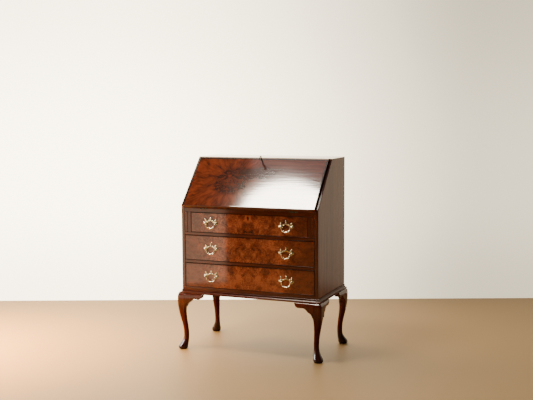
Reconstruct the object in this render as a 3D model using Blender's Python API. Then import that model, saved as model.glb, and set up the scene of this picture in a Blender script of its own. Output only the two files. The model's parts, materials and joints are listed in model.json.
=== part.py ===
"""Writing bureau: a fall front over three long drawers, on a stand with four cabriole legs.

Metres, +Z up, floor at Z = 0, front towards -Y. The origin is under the middle of the whole footprint.
Every named size can be changed by itself, and what fits it follows.
"""

import math

import bmesh
import bpy
from mathutils import Matrix, Vector

# Case
case_width = 0.750
case_depth = 0.430
case_top = 1.000
top_depth = 0.2117
side_thickness = 0.018
top_thickness = 0.018
bottom_thickness = 0.016
writing_thickness = 0.020
rail_thickness = 0.014
rail_depth = 0.050
dust_panel_thickness = 0.008
back_thickness = 0.006
back_inset = 0.004
back_rebate_width = 0.008
edge_round = 0.0010

# Clearances
fit_gap = 0.0003
running_gap = 0.0006
overrun = 0.004

# Drawer openings, between the boards
lower_opening = 0.127
middle_opening = 0.132
upper_opening = 0.1055

# Stand
leg_height = 0.298
stand_rail_thickness = 0.020
stand_rail_width = 0.050
base_overhang = 0.015
bead_radius = 0.003
base_fillet = 0.0045
knee_half = 0.023
bracket_reach = 0.1194
bracket_height = 0.0735
bracket_inner = 0.010
bracket_roll = 0.0265

# Lopers
loper_thickness = 0.0165
loper_back_space = 0.060
divider_thickness = 0.018

# Fall
fall_over_writing = 0.001
fall_rebate = 0.010
fall_lip = 0.007
fall_top_lap = 0.0008
fall_end_gap = 0.0005
fall_round_share = 0.64

# Fall hinges
leaf_thickness = 0.0018
leaf_half_width = 0.022
leaf_length = 0.030
knuckle_radius = 0.0030
hinge_pin_radius = 0.0011
knuckle_share = 0.44
hinge_inset = 0.110

# Fall lock, bolt and key
lock_offset = 0.011
key_below_edge = 0.036
lock_width = 0.060
lock_height = 0.045
lock_plate = 0.0007
lock_bolt_width = 0.024
lock_bolt_length = 0.022
lock_bolt_thickness = 0.0030
lock_wall = 0.0018
bolt_throw = 0.014
bit_reach = 0.0080
bit_width = 0.0030
bit_thickness = 0.0024
shank_radius = 0.0026
keyhole_gap = 0.0009
key_shank_out = 0.036
bow_radius = 0.0085
bow_wire = 0.0019
collar_radius = 0.0040
collar_width = 0.0022

# Drawers
drawer_front_thickness = 0.020
drawer_face_recess = 0.0006
drawer_side_gap = 0.0010
drawer_top_gap = 0.0016
drawer_side_thickness = 0.010
drawer_bottom_thickness = 0.008
drawer_back_space = 0.029
drawer_box_drop = 0.012
cockbead_width = 0.0030
cockbead_height = 0.0014

# Drawer lock
drawer_lock_width = 0.046
drawer_lock_height = 0.034
drawer_lock_thickness = 0.0090
drawer_keyhole_radius = 0.0034
drawer_keyhole_slot = 0.0034
drawer_keyhole_depth = 0.0140
drawer_keyhole_below = 0.0140
drawer_bolt_width = 0.014
drawer_bolt_height = 0.010
drawer_bolt_thickness = 0.0030
drawer_bolt_throw = 0.0060

# Handles
handle_spacing = 0.414
handle_below_middle = 0.0020
plate_half_width = 0.041
plate_rise = 0.029
plate_thickness = 0.0020
plate_bevel = 0.0005
post_spacing = 0.060
post_radius = 0.0036
post_end = 0.0021
bail_stand_off = 0.0095
bail_pin_radius = 0.0016
bail_radius = 0.0022
bail_drop = 0.0270
bail_side_gap = 0.0005

# Inside the desk
unit_setback = 0.055
unit_board = 0.006
unit_shelf = 0.008
unit_row_share = 0.238
unit_recess = 0.022
small_drawer_width = 0.220
small_drawer_wall = 0.005
small_drawer_front = 0.009
small_drawer_base = 0.004
pigeonholes = 6
knob_radius = 0.0060
knob_length = 0.0140

# Outlines, as shares of the sizes named beside each table
# Height of the leg, then outward and inward reach and the rounding of the outer, side and inner corners
leg_section_shares = (
    (0.990, 0.843, 1.000, 0.40, 0.06, 0.30),
    (0.971, 0.940, 1.000, 0.45, 0.06, 0.40),
    (0.933, 0.990, 1.000, 0.48, 0.06, 0.50),
    (0.879, 1.000, 1.000, 0.50, 0.06, 0.60),
    (0.822, 0.974, 1.000, 0.50, 0.08, 0.80),
    (0.768, 0.913, 0.996, 0.50, 0.14, 0.95),
    (0.711, 0.800, 0.896, 0.52, 0.25, 1.00),
    (0.654, 0.687, 0.852, 0.56, 0.35, 1.00),
    (0.577, 0.504, 0.887, 0.62, 0.50, 1.00),
    (0.497, 0.313, 0.974, 0.72, 0.70, 1.00),
    (0.413, 0.126, 1.078, 0.90, 0.90, 1.00),
    (0.332, 0.017, 1.157, 1.00, 1.00, 1.00),
    (0.258, -0.017, 1.191, 1.00, 1.00, 1.00),
    (0.191, 0.039, 1.200, 1.00, 1.00, 1.00),
    (0.144, 0.322, 1.191, 1.00, 1.00, 1.00),
    (0.107, 0.635, 1.174, 1.00, 1.00, 1.00),
    (0.074, 0.939, 1.165, 1.00, 1.00, 1.00),
    (0.047, 1.143, 1.143, 1.00, 1.00, 1.00),
    (0.023, 1.090, 1.090, 1.00, 1.00, 1.00),
    (0.007, 0.960, 0.960, 1.00, 1.00, 1.00),
    (0.000, 0.850, 0.850, 1.00, 1.00, 1.00),
)
leg_corner_steps = 4
# Along the bracket from its tip to the leg, and the drop of its lower edge in bracket_height
bracket_outline_shares = (
    (0.000, 0.090),
    (0.016, 0.180),
    (0.060, 0.285),
    (0.158, 0.358),
    (0.290, 0.363),
    (0.446, 0.331),
    (0.578, 0.382),
    (0.669, 0.503),
    (0.734, 0.612),
    (0.775, 0.622),
    (0.865, 0.712),
    (0.943, 0.840),
    (1.000, 1.000),
)
# Swell of the bracket's face and its depth below the top, in bracket_roll
bracket_face_shares = ((0.00, 0.00), (0.55, 0.10), (0.82, 0.31), (0.98, 0.70))
bracket_tip_swell_share = 0.45
# Half of the handle's pierced plate, in plate_half_width and plate_rise
plate_outline_shares = (
    (0.000, 1.000),
    (0.110, 0.930),
    (0.110, 0.790),
    (0.068, 0.700),
    (0.100, 0.600),
    (0.240, 0.500),
    (0.360, 0.390),
    (0.470, 0.400),
    (0.560, 0.500),
    (0.630, 0.650),
    (0.730, 0.750),
    (0.800, 0.690),
    (0.770, 0.530),
    (0.745, 0.410),
    (0.800, 0.310),
    (0.920, 0.240),
    (1.000, 0.080),
    (0.980, -0.090),
    (0.880, -0.200),
    (0.770, -0.250),
    (0.730, -0.370),
    (0.650, -0.430),
    (0.580, -0.360),
    (0.590, -0.220),
    (0.550, -0.070),
    (0.470, 0.060),
    (0.360, 0.160),
    (0.220, 0.240),
    (0.100, 0.340),
    (0.000, 0.420),
)
# Half of the bail: across in the reach of its arm, down in bail_drop, and thickness in bail_radius
bail_shares = (
    (0.975, -0.013, 0.75),
    (0.925, -0.056, 0.82),
    (0.890, -0.126, 0.90),
    (0.875, -0.220, 0.95),
    (0.850, -0.370, 1.00),
    (0.775, -0.560, 1.10),
    (0.640, -0.740, 1.35),
    (0.450, -0.885, 1.25),
    (0.225, -0.960, 1.05),
    (0.000, -1.000, 1.50),
)
# Knob: radius in knob_radius, distance from the drawer in knob_length
knob_shares = (
    (0.75, 0.00),
    (0.75, 0.08),
    (0.47, 0.16),
    (0.47, 0.38),
    (0.80, 0.50),
    (1.00, 0.68),
    (0.90, 0.86),
    (0.50, 0.98),
)
round_steps = 16

# Colours and finish
mahogany = ("mahogany", (0.120, 0.030, 0.013), 0.22, 0.0)
walnut_side = ("walnut_side", (0.150, 0.070, 0.038), 0.25, 0.0)
walnut_figured = ("walnut_figured", (0.230, 0.070, 0.024), 0.18, 0.0)
walnut_burr = ("walnut_burr", (0.300, 0.115, 0.035), 0.22, 0.0)
carcass_wood = ("carcass_wood", (0.330, 0.190, 0.095), 0.55, 0.0)
antique_brass = ("antique_brass", (0.620, 0.520, 0.310), 0.32, 1.0)
dark_steel = ("dark_steel", (0.080, 0.070, 0.060), 0.42, 1.0)

# Places that follow from the sizes
rear_leg_inset = knee_half
front = -(case_depth - rear_leg_inset) / 2
back = front + case_depth
half_width = case_width / 2
inner_half = half_width - side_thickness
board_half = inner_half - fit_gap
stand_top = leg_height + stand_rail_thickness
case_base = stand_top + fit_gap
bottom_top = stand_top + bottom_thickness
lower_rail_base = bottom_top + lower_opening
lower_rail_top = lower_rail_base + rail_thickness
upper_rail_base = lower_rail_top + middle_opening
upper_rail_top = upper_rail_base + rail_thickness
writing_base = upper_rail_top + upper_opening
writing_top = writing_base + writing_thickness
top_underside = case_top - top_thickness
back_face = back - back_inset - back_thickness
board_back = back_face - fit_gap
fall_thickness = writing_thickness + fall_over_writing
divider_outer = inner_half - running_gap - loper_thickness - running_gap
divider_inner = divider_outer - divider_thickness

lip_seat = fall_rebate - fit_gap
knuckle_bore = hinge_pin_radius + fit_gap
bail_bore_radius = bail_pin_radius + fit_gap
post_length = bail_stand_off + bail_bore_radius + post_end

# The slope runs from the hinge line to the flat top's front edge, less the lip's seat
slope_depth = case_depth - top_depth
slope_rise = case_top - writing_top
slope_line = math.hypot(slope_depth, slope_rise)
slope_angle = math.acos(lip_seat / slope_line) - math.atan2(slope_depth, slope_rise)
rise = math.sin(slope_angle)
run = math.cos(slope_angle)

# The slope's own frame: X along the hinge line, A up the slope, B out of the fall's face
slope_frame = Matrix(
    (
        (1, 0, 0, 0),
        (0, run, -rise, front),
        (0, rise, run, writing_top),
        (0, 0, 0, 1),
    )
)
fall_top = (case_top - writing_top - fall_thickness * run) / rise
fall_inner_top = (top_underside - fall_top_lap - writing_top - fall_rebate * run) / rise
fall_inner_half = inner_half - running_gap
fall_half = inner_half + fall_lip
fall_edge_round = (fall_thickness - fall_rebate) * fall_round_share
lock_thickness = lock_wall + lock_bolt_thickness + fit_gap + lock_plate + fit_gap + bit_width + fit_gap
key_height = fall_top - key_below_edge
lock_base = fall_inner_top - lock_height
bolt_base = fall_inner_top - lock_bolt_length
bit_base = lock_thickness - fit_gap - bit_width


def slope_y(height, out):
    """Y of the plane that lies `out` in front of the fall's inner face, at a height."""
    return front + ((height - writing_top) * run - out) / rise


unit_front = slope_y(top_underside, 0) + unit_setback
unit_row = (top_underside - writing_top) * unit_row_share


def material(finish):
    name, colour, roughness, metallic = finish
    made = bpy.data.materials.get(name)
    if made is None:
        made = bpy.data.materials.new(name)
        made.use_nodes = True
        shader = made.node_tree.nodes["Principled BSDF"]
        shader.inputs["Base Color"].default_value = (*colour, 1)
        shader.inputs["Roughness"].default_value = roughness
        shader.inputs["Metallic"].default_value = metallic
        made.diffuse_color = (*colour, 1)
    return made


def axis_at(name, place):
    """An empty on a joint's axis, which its moving pieces hang from."""
    empty = bpy.data.objects.new(name, None)
    empty.location = place
    bpy.context.scene.collection.objects.link(empty)
    return empty


def attach(piece, holder):
    piece.parent = holder
    piece.matrix_parent_inverse = Matrix.Translation(holder.location).inverted()
    return piece


def finished(bm, name, finish, origin=(0, 0, 0), smooth=False):
    """Makes an object of the mesh, with its origin at a point and its faces turned out."""
    bmesh.ops.recalc_face_normals(bm, faces=bm.faces)
    bmesh.ops.translate(bm, verts=bm.verts, vec=-Vector(origin))
    mesh = bpy.data.meshes.new(name)
    bm.to_mesh(mesh)
    bm.free()
    if smooth:
        mesh.shade_smooth()
        mesh.set_sharp_from_angle(angle=math.radians(35))
    made = bpy.data.objects.new(name, mesh)
    made.location = origin
    made.data.materials.append(material(finish))
    bpy.context.scene.collection.objects.link(made)
    return made


def block(low, high, frame=None):
    """A rectangular block between two corners, in the world or in a frame of its own."""
    bm = bmesh.new()
    bmesh.ops.create_cube(bm, size=1)
    size = Vector(high) - Vector(low)
    middle = (Vector(high) + Vector(low)) / 2
    bmesh.ops.scale(bm, vec=size, verts=bm.verts)
    bmesh.ops.translate(bm, vec=middle, verts=bm.verts)
    if frame is not None:
        bmesh.ops.transform(bm, matrix=frame, verts=bm.verts)
    return bm


def eased(bm):
    """Takes the sharpness off a board's long edges."""
    bmesh.ops.bevel(bm, geom=bm.edges[:], offset=edge_round, segments=1, affect="EDGES")
    return bm


def prism(outline, place, start, end):
    """An outline drawn once and extruded: place(u, v, w) gives the point at a distance w along it."""
    bm = bmesh.new()
    face = bm.faces.new([bm.verts.new(place(u, v, start)) for u, v in outline])
    grown = bmesh.ops.extrude_face_region(bm, geom=[face], use_keep_orig=True)
    moved = [part for part in grown["geom"] if isinstance(part, bmesh.types.BMVert)]
    step = Vector(place(0, 0, end)) - Vector(place(0, 0, start))
    bmesh.ops.translate(bm, verts=moved, vec=step)
    return bm


def loft(rings):
    """A skin over rings of equal count, closed at both ends."""
    bm = bmesh.new()
    loops = [[bm.verts.new(point) for point in ring] for ring in rings]
    for lower, upper in zip(loops, loops[1:]):
        for index in range(len(lower)):
            after = (index + 1) % len(lower)
            bm.faces.new((lower[index], lower[after], upper[after], upper[index]))
    bm.faces.new(loops[0])
    bm.faces.new(loops[-1])
    return bm


def turned(profile, frame, steps=round_steps):
    """A profile of (radius, distance) spun about the frame's Z axis."""
    turns = [2 * math.pi * step / steps for step in range(steps)]
    circle = [Vector((math.cos(turn), math.sin(turn), 0)) for turn in turns]
    rings = []
    for radius, distance in profile:
        rings.append([frame @ (spot * radius + Vector((0, 0, distance))) for spot in circle])
    return loft(rings)


def rectangle(x_low, x_high, y_low, y_high, height, frame):
    corners = ((x_low, y_low), (x_high, y_low), (x_high, y_high), (x_low, y_high))
    return [frame @ Vector((x, y, height)) for x, y in corners]


def cutter(bm, name):
    """A shape that is only used to cut or join another."""
    made = finished(bm, name, carcass_wood)
    made.hide_render = True
    made.display_type = "WIRE"
    return made


def combine(piece, operation, *shapes):
    """Cuts shapes out of a piece, or joins them to it."""
    for index, bm in enumerate(shapes):
        helper = cutter(bm, f"{piece.name}_{operation.lower()}_{index}_{len(piece.modifiers)}")
        change = piece.modifiers.new(helper.name, "BOOLEAN")
        change.operation = operation
        change.solver = "EXACT"
        change.object = helper
    return piece


def along_x(u, v, w):
    return (w, u, v)


def facing_front(x, z, y):
    """Frame at a point of a vertical front, with Z pointing out of it."""
    return Matrix.Translation((x, y, z)) @ Matrix.Rotation(math.radians(90), 4, "X")


# Case
def make_side(name, sign):
    outline = (
        (front, case_base),
        (back, case_base),
        (back, case_top),
        (slope_y(case_top, lip_seat), case_top),
        (front, writing_top + lip_seat / run),
    )
    low, high = sorted((sign * inner_half, sign * half_width))
    side = finished(eased(prism(outline, along_x, low, high)), name, walnut_side)
    rebate_half = inner_half + back_rebate_width
    groove_low, groove_high = sorted((sign * (inner_half - overrun), sign * rebate_half))
    groove = block(
        (groove_low, back_face - fit_gap, case_base - overrun),
        (groove_high, back + overrun, top_underside),
    )
    return combine(side, "DIFFERENCE", groove)


def make_top_board():
    outline = (
        (slope_y(top_underside, lip_seat), top_underside),
        (back, top_underside),
        (back, case_top),
        (slope_y(case_top, lip_seat), case_top),
    )
    board = finished(eased(prism(outline, along_x, -board_half, board_half)), "top_board", walnut_side)
    reach = bolt_base + lock_bolt_length + bolt_throw + overrun / 2
    half = lock_bolt_width / 2 + running_gap
    mortise = block(
        (lock_offset - half, fall_inner_top, lock_wall - running_gap),
        (lock_offset + half, reach, lock_wall + lock_bolt_thickness + running_gap),
        slope_frame,
    )
    return combine(board, "DIFFERENCE", mortise)


def make_back_panel():
    half = inner_half + back_rebate_width - fit_gap
    low = (-half, back_face, case_base)
    high = (half, back_face + back_thickness, top_underside - fit_gap)
    return finished(block(low, high), "back_panel", carcass_wood)


def make_bottom_board():
    board = block((-board_half, front, case_base), (board_half, board_back, bottom_top))
    return finished(board, "bottom_board", mahogany)


def make_dust_board(name, base, top):
    """A drawer rail with the thin panel that the drawer above runs on."""
    outline = (
        (front, base),
        (front + rail_depth, base),
        (front + rail_depth, top - dust_panel_thickness),
        (board_back, top - dust_panel_thickness),
        (board_back, top),
        (front, top),
    )
    return finished(prism(outline, along_x, -board_half, board_half), name, mahogany)


def make_writing_board():
    board = block((-board_half, front, writing_base), (board_half, board_back, writing_top))
    board = finished(board, "writing_board", mahogany)
    cuts = []
    half = leaf_half_width + fit_gap
    recess_base = writing_top - leaf_thickness - fit_gap
    for middle in hinge_middles():
        low = (middle - half, front - overrun, recess_base)
        cuts.append(block(low, (middle + half, front + leaf_length + fit_gap, writing_top + overrun)))
        cuts.append(knuckle_groove(middle))
    half = drawer_bolt_width / 2 + running_gap
    near = drawer_bolt_front() - running_gap
    far = drawer_bolt_front() + drawer_bolt_thickness + running_gap
    reach = writing_base - drawer_top_gap + drawer_bolt_throw
    cuts.append(block((-half, near, writing_base - overrun), (half, far, reach)))
    return combine(board, "DIFFERENCE", *cuts)


def make_divider(name, sign):
    low, high = sorted((sign * divider_inner, sign * divider_outer))
    board = block((low, front, upper_rail_top + fit_gap), (high, board_back, writing_base - fit_gap))
    return finished(board, name, mahogany)


def make_case(holder):
    pieces = [
        make_side("side_left", -1),
        make_side("side_right", 1),
        make_top_board(),
        make_back_panel(),
        make_bottom_board(),
        make_dust_board("dust_board_lower", lower_rail_base, lower_rail_top),
        make_dust_board("dust_board_upper", upper_rail_base, upper_rail_top),
        make_writing_board(),
        make_divider("loper_divider_left", -1),
        make_divider("loper_divider_right", 1),
    ]
    for piece in pieces:
        attach(piece, holder)


# Stand
def moulding_profile():
    """Bead, cove and fillet of the stand's edge: distance out from the case, and height."""
    step_out = bead_radius / 3
    points = [(0, stand_top), (step_out, stand_top)]
    centre = stand_top - bead_radius
    for step in range(1, 6):
        turn = math.pi * (0.5 - step / 6)
        points.append((step_out + bead_radius * math.cos(turn), centre + bead_radius * math.sin(turn)))
    bead_base = stand_top - 2 * bead_radius
    points.append((step_out, bead_base))
    cove_out = base_overhang - 2 * step_out
    cove_down = bead_base - leg_height - base_fillet
    for step in range(0, 6):
        turn = math.pi / 2 * step / 5
        out = 2 * step_out + cove_out * (1 - math.cos(turn))
        points.append((out, bead_base - cove_down * math.sin(turn)))
    points.append((base_overhang, leg_height + base_fillet))
    points.append((base_overhang, leg_height))
    return points


def make_stand_rails():
    profile = moulding_profile() + [(-stand_rail_width, leg_height), (-stand_rail_width, stand_top)]
    ends = []
    for sign in (-1, 1):
        ends.append([(sign * (half_width + out - fit_gap), front - out, height) for out, height in profile])
    rails = [finished(loft(ends), "base_moulding_front", mahogany, smooth=True)]
    for name, sign in (("base_moulding_left", -1), ("base_moulding_right", 1)):
        near = [(sign * (half_width + out), front - out + fit_gap, height) for out, height in profile]
        far = [(sign * (half_width + out), back, height) for out, height in profile]
        rails.append(finished(loft([near, far]), name, mahogany, smooth=True))
    inner = half_width - stand_rail_width - fit_gap
    low = (-inner, back - stand_rail_width, leg_height)
    rails.append(finished(block(low, (inner, back, stand_top)), "stand_back_rail", carcass_wood))
    return rails


def leg_ring(corner, height, out, inward, roundings):
    """A square with its four corners rounded. The corner holds its place and the two outward signs."""
    x, y, x_sign, y_sign = corner
    half = (out + inward) / 2
    outer, side, inner = (share * half for share in roundings)
    spots = (
        (out, out, outer, 0),
        (-inward, out, side, 1),
        (-inward, -inward, inner, 2),
        (out, -inward, side, 3),
    )
    ring = []
    for across, along, radius, quarter in spots:
        middle_x = across - radius if quarter in (0, 3) else across + radius
        middle_y = along - radius if quarter in (0, 1) else along + radius
        for step in range(leg_corner_steps + 1):
            turn = math.pi / 2 * (quarter + step / leg_corner_steps)
            across_point = middle_x + radius * math.cos(turn)
            along_point = middle_y + radius * math.sin(turn)
            ring.append((x + x_sign * across_point, y + y_sign * along_point, height))
    return ring


def leg_corner(x_sign, y_sign):
    depth = front if y_sign < 0 else back - rear_leg_inset
    return (x_sign * half_width, depth, x_sign, y_sign)


def make_leg(name, x_sign, y_sign):
    corner = leg_corner(x_sign, y_sign)
    rings = [leg_ring(corner, leg_height - fit_gap, base_overhang, knee_half, (0.35, 0.06, 0.30))]
    for height, out, inward, *roundings in leg_section_shares:
        rings.append(leg_ring(corner, height * leg_height, out * knee_half, inward * knee_half, roundings))
    return finished(loft(rings), name, mahogany, smooth=True)


def bracket_ring(reach, drop, swell):
    """Section of a knee bracket: (distance from the corner, distance out, depth below the top)."""
    roll = min(1, drop / bracket_roll) * bracket_roll
    ring = [(reach, base_overhang + out * swell, depth * roll) for out, depth in bracket_face_shares]
    ring.append((reach, base_overhang + swell, drop - 0.15 * roll))
    ring.append((reach, base_overhang + swell * 0.7, drop))
    ring.append((reach, -bracket_inner, drop))
    ring.append((reach, -bracket_inner, 0))
    return ring


def make_bracket(name, x_sign, y_sign, runs_along_front):
    x, y, _, _ = leg_corner(x_sign, y_sign)
    near = knee_half + fit_gap
    full_swell = knee_half - base_overhang
    rings = []
    for share, drop in bracket_outline_shares:
        reach = bracket_reach + (near - bracket_reach) * share
        swell = full_swell * (bracket_tip_swell_share + (1 - bracket_tip_swell_share) * share)
        ring = []
        for inward, out, depth in bracket_ring(reach, drop * bracket_height, swell):
            height = leg_height - fit_gap - depth
            if runs_along_front:
                ring.append((x - x_sign * inward, y + y_sign * out, height))
            else:
                ring.append((x + x_sign * out, y - y_sign * inward, height))
        rings.append(ring)
    return finished(loft(rings), name, mahogany, smooth=True)


def make_stand(holder):
    pieces = make_stand_rails()
    for depth_name, y_sign in (("front", -1), ("rear", 1)):
        for width_name, x_sign in (("left", -1), ("right", 1)):
            pieces.append(make_leg(f"leg_{depth_name}_{width_name}", x_sign, y_sign))
            pieces.append(make_bracket(f"bracket_side_{depth_name}_{width_name}", x_sign, y_sign, False))
            if y_sign < 0:
                pieces.append(make_bracket(f"bracket_front_{width_name}", x_sign, y_sign, True))
    for piece in pieces:
        attach(piece, holder)


# Lopers
def make_loper(side, sign):
    low, high = sorted((sign * (inner_half - running_gap), sign * (divider_outer + running_gap)))
    top = writing_top - fall_thickness - fit_gap
    holder = axis_at(f"loper_{side}_slide", ((low + high) / 2, front, (upper_rail_top + top) / 2))
    bar = block((low, front, upper_rail_top + fit_gap), (high, board_back - loper_back_space, top))
    attach(finished(eased(bar), f"loper_{side}", mahogany, origin=holder.location), holder)


# Fall and its hinges
def hinge_middles():
    return (-inner_half + hinge_inset, inner_half - hinge_inset)


def knuckle_groove(middle):
    """Room for a hinge's knuckles along the hinge line."""
    frame = slope_frame @ Matrix.Translation((middle, 0, 0)) @ Matrix.Rotation(math.radians(90), 4, "Y")
    radius = knuckle_radius + 2 * fit_gap
    length = leaf_half_width + fit_gap
    return turned(((radius, -length), (radius, length)), frame)


def make_fall_panel(origin):
    inner_edges = (-fall_inner_half, fall_inner_half, fall_end_gap + fit_gap, fall_inner_top)
    rings = [
        rectangle(*inner_edges, 0, slope_frame),
        rectangle(*inner_edges, fall_rebate, slope_frame),
        rectangle(-fall_half, fall_half, fall_end_gap, fall_top, fall_rebate, slope_frame),
    ]
    for step in range(4):
        turn = math.pi / 2 * step / 3
        inset = fall_edge_round * (1 - math.cos(turn))
        edges = (inset - fall_half, fall_half - inset, fall_end_gap + inset, fall_top - inset)
        height = fall_thickness - fall_edge_round * (1 - math.sin(turn))
        rings.append(rectangle(*edges, height, slope_frame))
    panel = finished(loft(rings), "fall_panel", walnut_figured, origin=origin)
    cuts = []
    for middle in hinge_middles():
        cuts.append(
            block(
                (middle - leaf_half_width - fit_gap, -overrun, -overrun),
                (middle + leaf_half_width + fit_gap, leaf_length + fit_gap, leaf_thickness + fit_gap),
                slope_frame,
            )
        )
        cuts.append(knuckle_groove(middle))
    lock_half = lock_width / 2 + fit_gap
    cuts.append(
        block(
            (lock_offset - lock_half, lock_base - fit_gap, -overrun),
            (lock_offset + lock_half, fall_inner_top + overrun, lock_thickness + fit_gap),
            slope_frame,
        )
    )
    hole = shank_radius + keyhole_gap
    centre = slope_frame @ Matrix.Translation((lock_offset, key_height, 0))
    cuts.append(turned(((hole, lock_thickness - overrun), (hole, fall_thickness + overrun)), centre))
    slot = bit_thickness / 2 + keyhole_gap
    cuts.append(
        block(
            (-slot, -bit_reach - keyhole_gap, lock_thickness - overrun),
            (slot, 0, fall_thickness + overrun),
            centre,
        )
    )
    return combine(panel, "DIFFERENCE", *cuts)


def make_fall_lock(origin):
    low = (lock_offset - lock_width / 2, lock_base, 0)
    high = (lock_offset + lock_width / 2, fall_inner_top, lock_thickness)
    lock = finished(block(low, high, slope_frame), "fall_lock", antique_brass, origin=origin)
    channel = block(
        (lock_offset - lock_bolt_width / 2 - fit_gap, bolt_base - fit_gap, lock_wall - fit_gap),
        (
            lock_offset + lock_bolt_width / 2 + fit_gap,
            fall_inner_top + overrun,
            lock_wall + lock_bolt_thickness + fit_gap,
        ),
        slope_frame,
    )
    sweep = bit_reach + keyhole_gap
    centre = slope_frame @ Matrix.Translation((lock_offset, key_height, 0))
    chamber = turned(((sweep, bit_base - fit_gap), (sweep, lock_thickness + overrun)), centre)
    return combine(lock, "DIFFERENCE", channel, chamber)


def make_fall_bolt(origin):
    low = (lock_offset - lock_bolt_width / 2, bolt_base, lock_wall)
    high = (lock_offset + lock_bolt_width / 2, fall_inner_top - fit_gap, lock_wall + lock_bolt_thickness)
    return finished(block(low, high, slope_frame), "fall_lock_bolt", antique_brass, origin=origin)


def make_key(origin):
    centre = slope_frame @ Matrix.Translation((lock_offset, key_height, 0))
    start = bit_base
    end = fall_thickness + key_shank_out
    collar = end - collar_width
    profile = (
        (shank_radius, start),
        (shank_radius, collar - collar_width),
        (collar_radius, collar - collar_width / 2),
        (collar_radius, collar),
        (shank_radius, collar + collar_width / 2),
        (shank_radius, end + bow_wire),
    )
    key = finished(turned(profile, centre), "key", dark_steel, origin=origin, smooth=True)
    bit = block(
        (-bit_thickness / 2, -bit_reach, bit_base),
        (bit_thickness / 2, 0, bit_base + bit_width),
        centre,
    )
    bow_centre = centre @ Matrix.Translation((0, 0, end + bow_radius))
    bow_centre = bow_centre @ Matrix.Rotation(math.radians(90), 4, "Y")
    return combine(key, "UNION", bit, torus(bow_radius, bow_wire, bow_centre))


def torus(major, minor, frame, around=20, section=8):
    bm = bmesh.new()
    rows = []
    for step in range(around):
        turn = 2 * math.pi * step / around
        row = []
        for part in range(section):
            lean = 2 * math.pi * part / section
            reach = major + minor * math.cos(lean)
            point = Vector((reach * math.cos(turn), reach * math.sin(turn), minor * math.sin(lean)))
            row.append(bm.verts.new(frame @ point))
        rows.append(row)
    for step in range(around):
        row, following = rows[step], rows[(step + 1) % around]
        for part in range(section):
            after = (part + 1) % section
            bm.faces.new((row[part], row[after], following[after], following[part]))
    return bm


def make_hinge(side, middle, fall_holder, case_holder):
    """A flap hinge: a leaf let into the writing board, one let into the fall, knuckles on the hinge line."""
    line = slope_frame @ Matrix.Translation((middle, 0, 0)) @ Matrix.Rotation(math.radians(90), 4, "Y")
    moving_half = leaf_half_width * knuckle_share
    plate_start = knuckle_radius + 2 * fit_gap
    fixed = block(
        (middle - leaf_half_width, front + plate_start, writing_top - leaf_thickness),
        (middle + leaf_half_width, front + leaf_length, writing_top),
    )
    fixed = finished(fixed, f"hinge_{side}_fixed_leaf", antique_brass)
    parts = [turned(((hinge_pin_radius, -leaf_half_width), (hinge_pin_radius, leaf_half_width)), line)]
    for sign in (-1, 1):
        near, far = sorted((sign * (moving_half + fit_gap), sign * leaf_half_width))
        parts.append(turned(((knuckle_radius, near), (knuckle_radius, far)), line))
        parts.append(
            block(
                (middle + near, front, writing_top - leaf_thickness),
                (middle + far, front + plate_start + leaf_thickness, writing_top - leaf_thickness / 9),
            )
        )
    combine(fixed, "UNION", *parts)
    attach(fixed, case_holder)
    flap = block(
        (middle - leaf_half_width, plate_start, 0),
        (middle + leaf_half_width, leaf_length, leaf_thickness),
        slope_frame,
    )
    flap = finished(flap, f"hinge_{side}_fall_leaf", antique_brass, origin=fall_holder.location)
    neck = block(
        (middle - moving_half, 0, leaf_thickness / 9),
        (middle + moving_half, plate_start + leaf_thickness, leaf_thickness),
        slope_frame,
    )
    knuckle = turned(((knuckle_radius, -moving_half), (knuckle_radius, moving_half)), line)
    combine(flap, "UNION", neck, knuckle)
    reach = moving_half + overrun
    combine(flap, "DIFFERENCE", turned(((knuckle_bore, -reach), (knuckle_bore, reach)), line))
    attach(flap, fall_holder)


def make_fall(case_holder):
    holder = axis_at("fall_hinge_line", (0, front, writing_top))
    attach(make_fall_panel(holder.location), holder)
    attach(make_fall_lock(holder.location), holder)
    bolt_place = slope_frame @ Vector((lock_offset, bolt_base, lock_wall))
    bolt_holder = attach(axis_at("fall_bolt_slide", bolt_place), holder)
    attach(make_fall_bolt(bolt_place), bolt_holder)
    key_place = slope_frame @ Vector((lock_offset, key_height, bit_base))
    key_holder = attach(axis_at("key_axis", key_place), holder)
    attach(make_key(key_place), key_holder)
    for side, middle in zip(("left", "right"), hinge_middles()):
        make_hinge(side, middle, holder, case_holder)


# Drawers
def drawer_bolt_front():
    """Y of the drawer bolt's front face, in the lock behind the upper drawer's front."""
    lock_front = front + drawer_face_recess + drawer_front_thickness - drawer_lock_thickness
    return lock_front + (drawer_lock_thickness - drawer_bolt_thickness) / 2


def make_drawer_front(number, half, base, top):
    """A front with a cockbead standing round its face."""
    face = front + drawer_face_recess
    rear = face + drawer_front_thickness
    frame = Matrix.Rotation(math.radians(90), 4, "X")
    crest = face - cockbead_height
    sections = (
        (0, rear),
        (0, face - cockbead_height / 2),
        (cockbead_width / 5, crest),
        (cockbead_width * 4 / 5, crest),
        (cockbead_width, face - cockbead_height / 2),
        (cockbead_width, face),
    )
    rings = []
    for inset, y in sections:
        rings.append(rectangle(inset - half, half - inset, base + inset, top - inset, -y, frame))
    return finished(loft(rings), f"drawer_{number}_front", walnut_burr)


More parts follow.
